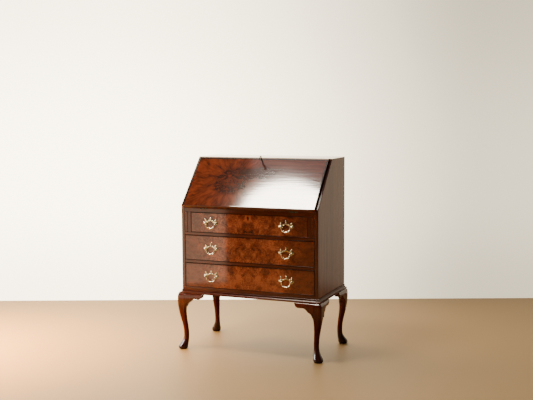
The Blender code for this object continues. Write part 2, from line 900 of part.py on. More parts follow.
def make_drawer_box(number, half, base, top):
    """An open tray: two sides, a back and a bottom behind the front."""
    near = front + drawer_face_recess + drawer_front_thickness + fit_gap
    far = board_back - drawer_back_space
    wall = drawer_side_thickness
    level = Matrix.Identity(4)
    height = top - drawer_box_drop
    floor = base + drawer_bottom_thickness
    rings = [
        rectangle(-half, half, near, far, base, level),
        rectangle(-half, half, near, far, height, level),
        rectangle(wall - half, half - wall, near + wall, far - wall, height, level),
        rectangle(wall - half, half - wall, near + wall, far - wall, floor, level),
    ]
    return finished(loft(rings), f"drawer_{number}_box", carcass_wood)


def make_drawer_lock(top, holder):
    rear = front + drawer_face_recess + drawer_front_thickness
    near = rear - drawer_lock_thickness
    half = drawer_lock_width / 2
    lock = finished(
        block((-half, near, top - drawer_lock_height), (half, rear, top)), "drawer_lock", antique_brass
    )
    bolt_half = drawer_bolt_width / 2
    bolt_near = drawer_bolt_front()
    bolt_far = bolt_near + drawer_bolt_thickness
    bolt_low = top - fit_gap - drawer_bolt_height
    channel = block(
        (-bolt_half - fit_gap, bolt_near - fit_gap, bolt_low - fit_gap),
        (bolt_half + fit_gap, bolt_far + fit_gap, top + overrun),
    )
    combine(lock, "DIFFERENCE", channel)
    attach(lock, holder)
    place = (0, bolt_near, bolt_low)
    bolt = finished(
        block((-bolt_half, bolt_near, bolt_low), (bolt_half, bolt_far, top - fit_gap)),
        "drawer_lock_bolt",
        antique_brass,
        origin=place,
    )
    attach(bolt, attach(axis_at("drawer_bolt_slide", place), holder))


def cut_drawer_lock_seat(panel, top):
    """The lock's mortise in the back of the front, and the keyhole."""
    face = front + drawer_face_recess
    rear = face + drawer_front_thickness
    half = drawer_lock_width / 2 + fit_gap
    mortise = block(
        (-half, rear - drawer_lock_thickness - fit_gap, top - drawer_lock_height - fit_gap),
        (half, rear + overrun, top + overrun),
    )
    centre = facing_front(0, top - drawer_keyhole_below, face)
    depth = drawer_front_thickness - drawer_lock_thickness + fit_gap
    hole = turned(((drawer_keyhole_radius, -depth), (drawer_keyhole_radius, overrun)), centre)
    slot = block(
        (-drawer_keyhole_slot / 2, -drawer_keyhole_depth, -depth),
        (drawer_keyhole_slot / 2, 0, overrun),
        centre,
    )
    return combine(panel, "DIFFERENCE", mortise, hole, slot)


def make_handle_plate(name, x, z, face):
    """A pierced plate with two posts that hold the bail."""
    right = [(across * plate_half_width, up * plate_rise) for across, up in plate_outline_shares]
    outline = right + [(-across, up) for across, up in reversed(right[1:-1])]
    rear = face - fit_gap
    bm = prism(outline, lambda u, v, w: (x + u, w, z + v), rear, rear - plate_thickness)
    crest = rear - plate_thickness
    edges = [edge for edge in bm.edges if all(abs(end.co.y - crest) < fit_gap / 3 for end in edge.verts)]
    bmesh.ops.bevel(bm, geom=edges, offset=plate_bevel, segments=1, affect="EDGES")
    plate = finished(bm, name, antique_brass)
    posts = []
    bores = []
    for sign in (-1, 1):
        centre = facing_front(x + sign * post_spacing / 2, z, rear)
        profile = (
            (post_radius, plate_thickness / 3),
            (post_radius, post_length - post_radius / 3),
            (post_radius * 3 / 4, post_length),
        )
        posts.append(turned(profile, centre, 12))
        bore = Matrix.Translation((x + sign * post_spacing / 2, face - bail_stand_off, z))
        bore = bore @ Matrix.Rotation(math.radians(90), 4, "Y")
        reach = post_radius + overrun
        bores.append(turned(((bail_bore_radius, -reach), (bail_bore_radius, reach)), bore, 12))
    combine(plate, "UNION", *posts)
    combine(plate, "DIFFERENCE", *bores)
    return plate


def make_bail(name, x, z, face):
    """A bent and swelled drop handle, whose ends turn out into the posts."""
    arm = post_spacing / 2 - post_radius - bail_side_gap
    tip = post_spacing / 2 + post_radius * 3 / 4
    pin = bail_pin_radius / bail_radius
    right = [(tip, 0, pin), (arm, 0, pin)]
    right += [(across * arm, down * bail_drop, thickness) for across, down, thickness in bail_shares]
    points = right + [(-across, down, thickness) for across, down, thickness in reversed(right[:-1])]
    curve = bpy.data.curves.new(name, "CURVE")
    curve.dimensions = "3D"
    curve.bevel_depth = bail_radius
    curve.bevel_resolution = 2
    curve.use_fill_caps = True
    spline = curve.splines.new("POLY")
    spline.points.add(len(points) - 1)
    for point, (across, down, thickness) in zip(spline.points, points):
        point.co = (across, 0, down, 1)
        point.radius = thickness
    bail = bpy.data.objects.new(name, curve)
    bail.location = (x, face - bail_stand_off, z)
    curve.materials.append(material(antique_brass))
    bpy.context.scene.collection.objects.link(bail)
    return bail


def make_drawer(number, half, base, ceiling, case_holder):
    top = ceiling - drawer_top_gap
    holder = attach(axis_at(f"drawer_{number}_slide", (0, front, base)), case_holder)
    panel = attach(make_drawer_front(number, half, base, top), holder)
    attach(make_drawer_box(number, half, base, top), holder)
    if number == 1:
        cut_drawer_lock_seat(panel, top)
        make_drawer_lock(top, holder)
    height = (base + ceiling) / 2 - handle_below_middle
    face = front + drawer_face_recess
    for side, sign in (("left", -1), ("right", 1)):
        x = sign * handle_spacing / 2
        attach(make_handle_plate(f"handle_plate_{number}_{side}", x, height, face), holder)
        place = (x, face - bail_stand_off, height)
        bail_holder = attach(axis_at(f"bail_{number}_{side}_axis", place), holder)
        attach(make_bail(f"bail_{number}_{side}", x, height, face), bail_holder)


def make_drawers(case_holder):
    wide = inner_half - drawer_side_gap
    narrow = divider_inner - drawer_side_gap
    make_drawer(1, narrow, upper_rail_top + fit_gap, writing_base, case_holder)
    make_drawer(2, wide, lower_rail_top + fit_gap, upper_rail_base, case_holder)
    make_drawer(3, wide, bottom_top + fit_gap, lower_rail_base, case_holder)


# Inside the desk
def make_pigeonhole_unit(holder):
    """Shelf, partitions and dividers of the inside, cut from one outline as a frame."""
    low = (-board_half, unit_front, writing_top + fit_gap)
    high = (board_half, board_back, top_underside - fit_gap)
    unit = finished(block(low, high), "pigeonhole_unit", walnut_side)
    shelf_base = low[2] + unit_row
    shelf_top = shelf_base + unit_shelf
    near = low[1] - overrun
    far = high[1] + overrun
    inner = board_half - unit_board
    cells = []
    drawer_cell = small_drawer_width + 2 * drawer_side_gap
    bottom_row = (
        (-inner, -inner + drawer_cell),
        (-inner + drawer_cell + unit_board, inner - drawer_cell - unit_board),
        (inner - drawer_cell, inner),
    )
    for start, end in bottom_row:
        cells.append(block((start, near, low[2] - overrun), (end, far, shelf_base)))
    pitch = (2 * inner + unit_board) / pigeonholes
    for index in range(pigeonholes):
        start = -inner + index * pitch
        cells.append(block((start, near, shelf_top), (start + pitch - unit_board, far, high[2] + overrun)))
    combine(unit, "DIFFERENCE", *cells)
    curve = [(near, high[2] + overrun), (near, shelf_top + unit_shelf)]
    for step in range(9):
        share = step / 8
        sweep = (1 - math.cos(math.pi * share)) / 2 + math.sin(2 * math.pi * share) / 4
        height = shelf_top + unit_shelf + (high[2] - shelf_top - unit_shelf) * share
        curve.append((low[1] + unit_recess * sweep, height))
    curve.append((low[1] + unit_recess, high[2] + overrun))
    combine(unit, "DIFFERENCE", prism(curve, along_x, -half_width, half_width))
    attach(unit, holder)


def make_small_drawer(side, sign, case_holder):
    inner = board_half - unit_board
    middle = sign * (inner - drawer_side_gap - small_drawer_width / 2)
    half = small_drawer_width / 2
    near = unit_front + drawer_face_recess
    far = board_back - drawer_side_gap
    base = writing_top + fit_gap
    top = writing_top + fit_gap + unit_row - drawer_side_gap
    wall = small_drawer_wall
    level = Matrix.Identity(4)
    holder = attach(axis_at(f"small_drawer_{side}_slide", (middle, near, base)), case_holder)
    outside = (middle - half, middle + half, near, far)
    inside = (outside[0] + wall, outside[1] - wall, near + small_drawer_front, far - wall)
    rings = [
        rectangle(*outside, base, level),
        rectangle(*outside, top, level),
        rectangle(*inside, top, level),
        rectangle(*inside, base + small_drawer_base, level),
    ]
    tray = finished(loft(rings), f"small_drawer_{side}", mahogany, origin=holder.location)
    attach(tray, holder)
    centre = facing_front(middle, (base + top) / 2, near - fit_gap)
    profile = [(radius * knob_radius, distance * knob_length) for radius, distance in knob_shares]
    knob = finished(turned(profile, centre), f"small_drawer_knob_{side}", antique_brass, smooth=True)
    attach(knob, holder)


def make_inside(holder):
    make_pigeonhole_unit(holder)
    make_small_drawer("left", -1, holder)
    make_small_drawer("right", 1, holder)


def main():
    for old in list(bpy.data.objects):
        bpy.data.objects.remove(old)
    case = axis_at("case", (0, 0, 0))
    make_case(case)
    make_stand(case)
    make_loper("left", -1)
    make_loper("right", 1)
    make_fall(case)
    make_drawers(case)
    make_inside(case)


main()
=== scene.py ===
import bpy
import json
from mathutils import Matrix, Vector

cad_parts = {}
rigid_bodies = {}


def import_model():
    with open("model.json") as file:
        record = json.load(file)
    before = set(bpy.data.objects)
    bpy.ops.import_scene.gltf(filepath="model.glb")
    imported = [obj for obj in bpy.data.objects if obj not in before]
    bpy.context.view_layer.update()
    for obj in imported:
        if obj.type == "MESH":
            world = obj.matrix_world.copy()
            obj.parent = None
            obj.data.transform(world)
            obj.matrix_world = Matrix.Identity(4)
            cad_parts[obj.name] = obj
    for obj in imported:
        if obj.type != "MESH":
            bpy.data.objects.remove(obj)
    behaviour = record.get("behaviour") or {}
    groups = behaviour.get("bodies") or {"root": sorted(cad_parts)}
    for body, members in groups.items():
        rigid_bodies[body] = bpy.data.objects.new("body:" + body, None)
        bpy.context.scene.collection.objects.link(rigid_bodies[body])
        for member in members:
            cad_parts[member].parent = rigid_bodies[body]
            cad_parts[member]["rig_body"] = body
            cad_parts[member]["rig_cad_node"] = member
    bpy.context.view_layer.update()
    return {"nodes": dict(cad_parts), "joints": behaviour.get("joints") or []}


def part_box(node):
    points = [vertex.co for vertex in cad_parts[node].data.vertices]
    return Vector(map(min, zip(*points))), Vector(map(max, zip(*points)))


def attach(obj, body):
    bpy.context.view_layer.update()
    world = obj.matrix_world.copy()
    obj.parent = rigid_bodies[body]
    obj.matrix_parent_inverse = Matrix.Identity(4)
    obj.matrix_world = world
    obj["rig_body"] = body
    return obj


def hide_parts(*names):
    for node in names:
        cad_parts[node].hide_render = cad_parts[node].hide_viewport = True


bl_info = {
    "name": "Writing Bureau",
    "version": (1, 0, 0),
    "blender": (4, 5, 0),
    "location": "View3D > Sidebar > Bureau",
    "description": "Veneers, polished wood, brass and a plain studio for a fall front writing bureau",
    "category": "Object",
}

import json
import math

import bpy
from bpy.props import FloatProperty, FloatVectorProperty, IntProperty, PointerProperty
from mathutils import Matrix, Vector

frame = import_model()

# The fall's travel gives the slope, and a side and the writing board give the hinge line
fall_travel = next(joint["range_deg"][1] for joint in frame["joints"] if joint["name"] == "fall_hinge")
slope_angle = math.pi - math.radians(fall_travel)
hinge_line = Vector((0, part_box("side_left")[0].y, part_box("writing_board")[1].z))
slope_frame = Matrix.Translation(hinge_line) @ Matrix.Rotation(slope_angle, 4, "X")
OUT_OF_SLOPE = Vector((0, -math.sin(slope_angle), math.cos(slope_angle)))
TO_THE_FRONT = Matrix.Rotation(math.pi / 2, 4, "X")
TURNED_OVER = Matrix.Rotation(math.pi, 4, "Y")
SIDES = ("left", "right")
DRAWERS = (1, 2, 3)

# Stretch of straight grain that runs along each axis
GRAIN_SCALES = {"X": (1, 22, 22), "Y": (22, 1, 22), "Z": (22, 22, 1)}

# Heights on the legs between which the wood turns darker towards the feet and the polish changes
DARKER_TOWARDS_FEET = (0.015, 0.11)
KNEE_STARTS = (0.17, 0.25)
FOOT_ENDS = (0.05, 0.09)

# Figure of the slope, across and up from the hinge line, and where its dark edges start: a dark border,
# partly painted shade of the rounded edges
CROWN_MIDDLE = (-0.128, 0.166)
CROWN_REACH = (0.088, 0.078)
CLOUD_MIDDLE = (0.020, 0.222)
CLOUD_REACH = (0.165, 0.050)
SIDE_EDGE = (0.3530, 0.3540)
UPPER_EDGE = (0.3110, 0.3122)

# Burr of the drawers: paler below a height as painted light, plain and darker towards the ends, partly as
# painted shade, and a painted shadow round the upper keyhole
PAINTED_LIGHT_BELOW = (0.43, 0.50)
PLAIN_SHADED_ENDS = (0.15, 0.31)
KEYHOLE_BELOW_TOP = 0.0195
KEYHOLE_SHADOW_REACH = (0.0066, 1, 0.0110)

# Drawer fronts and the fall's fittings
BEAD = 0.0030
KEYHOLE_HALF = 0.006
KNUCKLE_REACH = 0.0034
LEAF_SCREWS = ((-0.014, 0.012), (0.014, 0.012), (0, 0.023))
LOCK_MIDDLE = (0.011, 0.28617, 0)
LOCK_SCREWS = ((-0.025, -0.017), (0.025, -0.017), (-0.025, 0.016), (0.025, 0.016))
SCREW_FOOT = -0.0005
SCREW_EDGE = 0.0001
SCREW_TOP = 0.0003
SCREW_SLOT = 0.0007
SCREW_TURN = math.radians(25)

# Half of a handle's plate, in its half width and rise, from the top of the crown round to its inside
PLATE_HALF = 0.041
PLATE_RISE = 0.029
PLATE_THICKNESS = 0.0020
PLATE_OUTLINE = (
    (0.000, 1.030),
    (0.075, 1.000),
    (0.135, 0.900),
    (0.100, 0.800),
    (0.065, 0.700),
    (0.090, 0.590),
    (0.160, 0.540),
    (0.240, 0.520),
    (0.300, 0.420),
    (0.380, 0.370),
    (0.470, 0.390),
    (0.540, 0.480),
    (0.610, 0.640),
    (0.690, 0.760),
    (0.780, 0.780),
    (0.810, 0.690),
    (0.775, 0.560),
    (0.745, 0.430),
    (0.790, 0.320),
    (0.890, 0.270),
    (0.985, 0.190),
    (1.010, 0.020),
    (0.970, -0.140),
    (0.870, -0.220),
    (0.780, -0.240),
    (0.750, -0.350),
    (0.680, -0.440),
    (0.590, -0.410),
    (0.570, -0.280),
    (0.600, -0.150),
    (0.560, -0.030),
    (0.470, 0.060),
    (0.370, 0.110),
    (0.280, 0.220),
    (0.190, 0.250),
    (0.110, 0.310),
    (0.050, 0.430),
    (0.000, 0.450),
)

# Posts of the plate: radius and distance from its back
POST_REACH = 0.030
POST_Y = -0.2124
POST_BORE = 0.0018
POST_PROFILE = (
    (0.0046, 0.0006),
    (0.0046, 0.0024),
    (0.0040, 0.0032),
    (0.0027, 0.0040),
    (0.0027, 0.0052),
    (0.0036, 0.0064),
    (0.0039, 0.0086),
    (0.0036, 0.0110),
    (0.0026, 0.0126),
    (0.0010, 0.0135),
)

# Half of a drop handle, and one leaf of it: across in its arm, down in its drop, thickness in its radius
BAIL_ARM = 0.0259
BAIL_DROP = 0.0270
BAIL_SHARES = (
    (1.262, 0.000, 0.72),
    (1.130, 0.000, 0.72),
    (1.020, 0.000, 0.72),
    (0.965, -0.020, 0.78),
    (0.915, -0.100, 0.90),
    (0.880, -0.220, 0.98),
    (0.860, -0.370, 1.00),
    (0.825, -0.560, 1.10),
    (0.720, -0.765, 1.36),
    (0.530, -0.920, 1.24),
    (0.340, -0.975, 1.05),
    (0.190, -0.985, 1.10),
    (0.080, -0.990, 1.60),
    (0.000, -0.990, 1.70),
)
LEAF_SHARES = (
    (0.500, -0.900, 0.90),
    (0.430, -0.830, 1.00),
    (0.360, -0.740, 0.85),
    (0.350, -0.640, 0.55),
    (0.390, -0.570, 0.20),
)

# Knob of a small drawer: radius and distance from the front
KNOB_PROFILE = (
    (0.0042, 0.0000),
    (0.0042, 0.0010),
    (0.0024, 0.0024),
    (0.0023, 0.0048),
    (0.0044, 0.0066),
    (0.0058, 0.0088),
    (0.0057, 0.0108),
    (0.0044, 0.0126),
    (0.0018, 0.0135),
)

# Key: its ring of wire, its bit, and its shank's radius at each distance below the ring
KEY_BOW = 0.0085
KEY_BOW_BAND = 0.004
KEY_BOW_STEPS = 24
KEY_BOW_WIDER = 1.06
KEY_WIRE = 0.0026
KEY_TIP_RADIUS = 0.0018
KEY_BIT_SIZE = (0.0024, 0.0080, 0.0030)
KEY_BIT_REACH = -0.0040
KEY_BIT_RISE = 0.0015
KEY_PROFILE = (
    (0.0026, 0.0320),
    (0.0028, 0.0130),
    (0.0046, 0.0120),
    (0.0050, 0.0105),
    (0.0046, 0.0090),
    (0.0030, 0.0080),
    (0.0030, 0.0036),
    (0.0046, 0.0028),
    (0.0050, 0.0016),
    (0.0046, 0.0006),
    (0.0030, 0.0000),
    (0.0026, -0.0014),
)

# Modelling: vertices closer than this are one, and a face is straight when its normal reaches this
MERGE_DISTANCE = 0.00001
STRAIGHT = 0.99

# Studio: the camera as fitted to the photo's straight edges, the wall's shading, and the lights' tints
CAMERA_PLACE = Vector((1.8209, -4.4031, 1.2721))
CAMERA_YAW = math.radians(22.254)
CAMERA_PITCH = math.radians(5.914)
CAMERA_ROLL = math.radians(-0.301)
SENSOR_WIDTH = 36
FOCAL_PIXELS = 915
PICTURE_PIXELS = 533
WALL_DISTANCE = 5.93
# The wall's painted light: its glow falls off from left to right, and is dimmer at its foot and high up
WALL_SHARES = (1.70, 0.315)
WALL_FADES = (-1.2, 1.45)
WALL_FOOT = (0.0, 0.7)
WALL_TOP = (0.9, 2.1)
BACKDROP_SIZE = 16
CEILING_MIDDLE = (-0.63, -0.855)
CEILING_SIZE = (0.84, 0.74)
WHITE = (1.0, 0.985, 0.965)
SUNNY = (1.0, 0.82, 0.58)
WARM = (1.0, 0.74, 0.50)
AMBER = (1.0, 0.60, 0.13)


def colour(name, description, default):
    return FloatVectorProperty(
        name=name, description=description, subtype="COLOR", size=3, min=0, max=1, default=default
    )


def measure(name, description, default):
    return FloatProperty(name=name, description=description, unit="LENGTH", default=default)


def brightness(name, description, default):
    return FloatProperty(name=name, description=description, min=0, default=default)


class BureauWoods(bpy.types.PropertyGroup):
    """Colours of the bureau's woods."""

    fall_light: colour("Fall, light", "Light figure of the fall's veneer", (0.124, 0.0215, 0.0060))
    fall_dark: colour("Fall, dark", "Dark figure of the fall's veneer", (0.012, 0.0025, 0.0011))
    burr_light: colour("Burr, light", "Light clouds of the drawers' burr", (0.32, 0.082, 0.030))
    burr_middle: colour("Burr, middle", "Main colour of the drawers' burr", (0.126, 0.0262, 0.0112))
    burr_dark: colour("Burr, dark", "Eyes and swirls of the drawers' burr", (0.024, 0.005, 0.002))
    mahogany_light: colour("Mahogany, light", "Light grain of the solid wood", (0.118, 0.026, 0.0115))
    mahogany_dark: colour("Mahogany, dark", "Dark grain of the solid wood", (0.036, 0.008, 0.004))
    leg_light: colour("Legs, light", "Light grain of the legs", (0.130, 0.020, 0.0085))
    leg_dark: colour("Legs, dark", "Dark grain of the legs", (0.036, 0.0055, 0.0028))
    # The dark edge wood is the cockbeads' own colour; elsewhere it is put in as painted shade in gaps, lips
    # and the keyhole
    edge_light: colour("Edges, light", "Light grain of the dark edges", (0.040, 0.0095, 0.0045))
    edge_dark: colour("Edges, dark", "Dark grain of the dark edges", (0.010, 0.003, 0.002))
    walnut_light: colour("Walnut, light", "Light grain of the sides", (0.190, 0.050, 0.021))
    walnut_dark: colour("Walnut, dark", "Dark grain of the sides", (0.088, 0.021, 0.010))
    carcass_light: colour("Carcass, light", "Light grain of the unpolished wood", (0.46, 0.29, 0.15))
    carcass_dark: colour("Carcass, dark", "Dark grain of the unpolished wood", (0.27, 0.15, 0.07))


class BureauMetals(bpy.types.PropertyGroup):
    """Colours of the bureau's metals."""

    brass_light: colour("Brass, rubbed", "Brass where hands rub it", (0.76, 0.68, 0.47))
    brass_dark: colour("Brass, aged", "Brass where it has darkened", (0.20, 0.15, 0.07))
    steel_light: colour("Steel, worn", "Key where it is worn", (0.050, 0.045, 0.040))
    steel_dark: colour("Steel, dark", "Key where it is dark", (0.010, 0.009, 0.008))


class BureauShapes(bpy.types.PropertyGroup):
    """Sizes of what is shaped here."""

    edge_round: measure("Edge", "Rounding of the boards' edges", 0.0008)
    smoothness: IntProperty(
        name="Smoothness", description="Subdivisions of legs and brackets", default=2, min=0, max=3
    )
    bail_radius: measure("Bail", "Radius of a drop handle's arm", 0.0022)
    screw_radius: measure("Screw", "Radius of a hinge screw's head", 0.0030)


class BureauStudio(bpy.types.PropertyGroup):
    """Plain studio round the bureau."""

    wall_colour: colour("Wall", "Pale wall", (1.0, 0.865, 0.62))
    # The wall glows rather than being lit, with painted light across it
    wall_glow: brightness("Wall glow", "Brightness of the lit wall", 5.4)
    floor_colour: colour("Floor", "Pale floor", (0.246, 0.142, 0.049))
    world_strength: brightness("Ambient", "Strength of the even light", 0.08)
    ceiling_power: brightness("Ceiling", "Power of the light overhead", 95)
    gleam_power: brightness("Gleam", "Power of that light's reflection", 155)
    glow_power: brightness("Ceiling glow", "Power of the dim panel behind it", 3.4)
    window_power: brightness("Window", "Power of the warm light low on the left", 12)
    floor_power: brightness("Floor light", "Power of the light on the floor at the left", 160)
    side_power: brightness("Side light", "Light that only shows in the polish from the left", 12)
    shine_power: brightness("Shine", "Light that only shows in the polish of the legs", 130)
    fill_power: brightness("Fill", "Power of the light from the camera's side", 2)


def settings(name):
    return getattr(bpy.context.scene, name)


# Material nodes


def node(tree, kind, sockets=(), **values):
    """A node with its settings made and its sockets filled or linked."""
    made = tree.nodes.new("ShaderNode" + kind)
    for name, value in values.items():
        setattr(made, name, value)
    for name, value in dict(sockets).items():
        socket = made.inputs[name]
        if isinstance(value, bpy.types.NodeSocket):
            tree.links.new(value, socket)
        else:
            socket.default_value = value
    return made


def maths(tree, operation, *values):
    return node(tree, "Math", dict(enumerate(values)), operation=operation).outputs[0]


def times(tree, first, second):
    return maths(tree, "MULTIPLY", first, second)


def weighed(tree, *parts):
    """The sum of values, each given with its weight."""
    total, *others = [times(tree, value, weight) for value, weight in parts]
    for other in others:
        total = maths(tree, "ADD", total, other)
    return total


def between(tree, value, low, high):
    """0 below low, 1 above high, and smooth between them."""
    fill = {"Value": value, "From Min": low, "From Max": high}
    return node(tree, "MapRange", fill, interpolation_type="SMOOTHSTEP").outputs[0]


def below(tree, value, low, high):
    """1 below low, 0 above high, and smooth between them."""
    return maths(tree, "SUBTRACT", 1.0, between(tree, value, low, high))


def toned(tree, share, first, last):
    """The value that a share of 0 to 1 picks from first to last."""
    return node(tree, "MapRange", {"Value": share, "To Min": first, "To Max": last}).outputs[0]


def vector_maths(tree, operation, sockets, output="Vector"):
    return node(tree, "VectorMath", sockets, operation=operation).outputs[output]


def axes(tree, vector):
    return node(tree, "SeparateXYZ", {0: vector}).outputs


def combined(tree, x, y, z=0):
    return node(tree, "CombineXYZ", {0: x, 1: y, 2: z}).outputs[0]


def length(tree, vector):
    return vector_maths(tree, "LENGTH", {0: vector}, "Value")


def object_place(tree):
    return node(tree, "TexCoord").outputs["Object"]


def stretched(tree, vector, scale):
    return node(tree, "Mapping", {"Vector": vector, "Scale": scale}).outputs[0]


def seen_from(tree, vector, location, rotation=(0, 0, 0), scale=(1, 1, 1)):
    """The place in axes of its own, which stand, turn and measure as given."""
    fill = {"Vector": vector, "Location": location, "Rotation": rotation, "Scale": scale}
    return node(tree, "Mapping", fill, vector_type="TEXTURE").outputs[0]


def noise(tree, vector, scale, detail, roughness=0.5, distortion=0.0, output="Fac"):
    fill = {"Vector": vector, "Scale": scale, "Detail": detail}
    return node(tree, "TexNoise", {**fill, "Roughness": roughness, "Distortion": distortion}).outputs[output]


def from_spots(tree, vector, scale):
    """Distance from the nearest of many scattered spots."""
    return node(tree, "TexVoronoi", {"Vector": vector, "Scale": scale}).outputs["Distance"]


def warped(tree, vector, scale, amount):
    """The place pushed about by a soft noise."""
    cloud = noise(tree, vector, scale, 3, output="Color")
    centred = vector_maths(tree, "SUBTRACT", {0: cloud, 1: (0.5, 0.5, 0.5)})
    push = vector_maths(tree, "SCALE", {0: centred, "Scale": amount})
    return vector_maths(tree, "ADD", {0: vector, 1: push})


def ramp(tree, value, *stops):
    made = node(tree, "ValToRGB", {"Fac": value})
    elements = made.color_ramp.elements
    while len(elements) < len(stops):
        elements.new(1)
    for element, (place, shade) in zip(elements, stops):
        element.position = place
        element.color = (*shade, 1)
    return made.outputs[0]


def mixed(tree, share, first, second):
    """A colour mixed from two: a mix node takes colours at sockets 6 and 7, and gives one at output 2."""
    second = second if isinstance(second, bpy.types.NodeSocket) else (*second, 1)
    return node(tree, "Mix", {0: share, 6: first, 7: second}, data_type="RGBA").outputs[2]


def dimmed(shade, share):
    return [part * share for part in shade]


def blended(first, second, share=0.5):
    return [a * share + b * (1 - share) for a, b in zip(first, second)]


def start(name, roughness, coat=0.0, coat_roughness=0.1, metallic=0.0):
    """A material with its even numbers set on the shader."""
    material = bpy.data.materials.new(name)
    material.use_nodes = True
    shader = material.node_tree.nodes["Principled BSDF"]
    shader.inputs["Roughness"].default_value = roughness
    shader.inputs["Metallic"].default_value = metallic
    shader.inputs["Specular IOR Level"].default_value = 0.0 if coat else 0.5
    shader.inputs["Coat Weight"].default_value = coat
    shader.inputs["Coat Roughness"].default_value = coat_roughness
    return material, material.node_tree, shader


def link_surface(tree, shader, shade, height, relief, coat_relief=0.0):
    """Links the colour, and a height as bump on the surface and on its polish."""
    tree.links.new(shade, shader.inputs["Base Color"])
    for socket, distance in (("Normal", relief), ("Coat Normal", coat_relief)):
        if distance:
            bump = node(tree, "Bump", {"Height": height, "Strength": 1.0, "Distance": distance})
            tree.links.new(bump.outputs[0], shader.inputs[socket])


# Woods and metals


def grained_wood(name, along, light, dark, coat, coat_roughness=0.10, coarse=1.0):
    """Straight grained wood: broad bands, fine lines and dark pores that run along one axis."""
    made = bpy.data.materials.get(name)
    if made:
        return made
    material, tree, shader = start(name, 0.40 if coat else 0.62, coat, coat_roughness)
    lines = stretched(tree, warped(tree, object_place(tree), 2.5 * coarse, 0.03), GRAIN_SCALES[along])
    bands = noise(tree, lines, 0.9 * coarse, 3, 0.6, 0.4)
    fine = noise(tree, lines, 7.0 * coarse, 5, 0.65, 0.3)
    figure = weighed(tree, (bands, 0.55), (fine, 0.45))
    shade = ramp(tree, figure, (0.34, dark), (0.50, blended(light, dark)), (0.66, light))
    pores = between(tree, noise(tree, lines, 28.0, 2), 0.62, 0.72)
    shade = mixed(tree, times(tree, pores, 0.45), shade, dimmed(dark, 0.35))
    height = maths(tree, "SUBTRACT", times(tree, fine, 0.5), pores)
    link_surface(tree, shader, shade, height, 0.00012, 0.00001 if coat else 0.0)
    return material


def shades_of(wood):
    woods = settings("bureau_woods")
    return getattr(woods, wood + "_light"), getattr(woods, wood + "_dark")


def mahogany(along, coat=0.75, coat_roughness=0.10):
    name = f"mahogany_{along.lower()}_{coat:.2f}"
    return grained_wood(name, along, *shades_of("mahogany"), coat, coat_roughness)


def walnut(along, coat=0.41, coat_roughness=0.25):
    name = f"walnut_{along.lower()}_{coat:.2f}"
    return grained_wood(name, along, *shades_of("walnut"), coat, coat_roughness)


def dark_edge(along, coat=0.1):
    return grained_wood(f"dark_edge_{along.lower()}_{coat:.2f}", along, *shades_of("edge"), coat, 0.08)


def carcass_wood(along):
    return grained_wood("carcass_wood_" + along.lower(), along, *shades_of("carcass"), 0.0, coarse=0.7)


def leg_wood():
    """Mahogany along the legs, darker towards the feet, its polish thin between knee and foot."""
    made = bpy.data.materials.get("leg_wood")
    if made:
        return made
    material = grained_wood("leg_wood", "Z", *shades_of("leg"), 0.7, 0.06)
    tree = material.node_tree
    shader = tree.nodes["Principled BSDF"]
    wood = shader.inputs["Base Color"].links[0].from_socket
    height = axes(tree, warped(tree, object_place(tree), 20, 0.02))[2]
    darker_low = times(tree, below(tree, height, *DARKER_TOWARDS_FEET), 0.8)
    tree.links.new(mixed(tree, darker_low, wood, shades_of("edge")[1]), shader.inputs["Base Color"])
    polish = maths(tree, "MAXIMUM", between(tree, height, *KNEE_STARTS), below(tree, height, *FOOT_ENDS))
    tree.links.new(toned(tree, polish, 0.1, 0.65), shader.inputs["Coat Weight"])
    return material


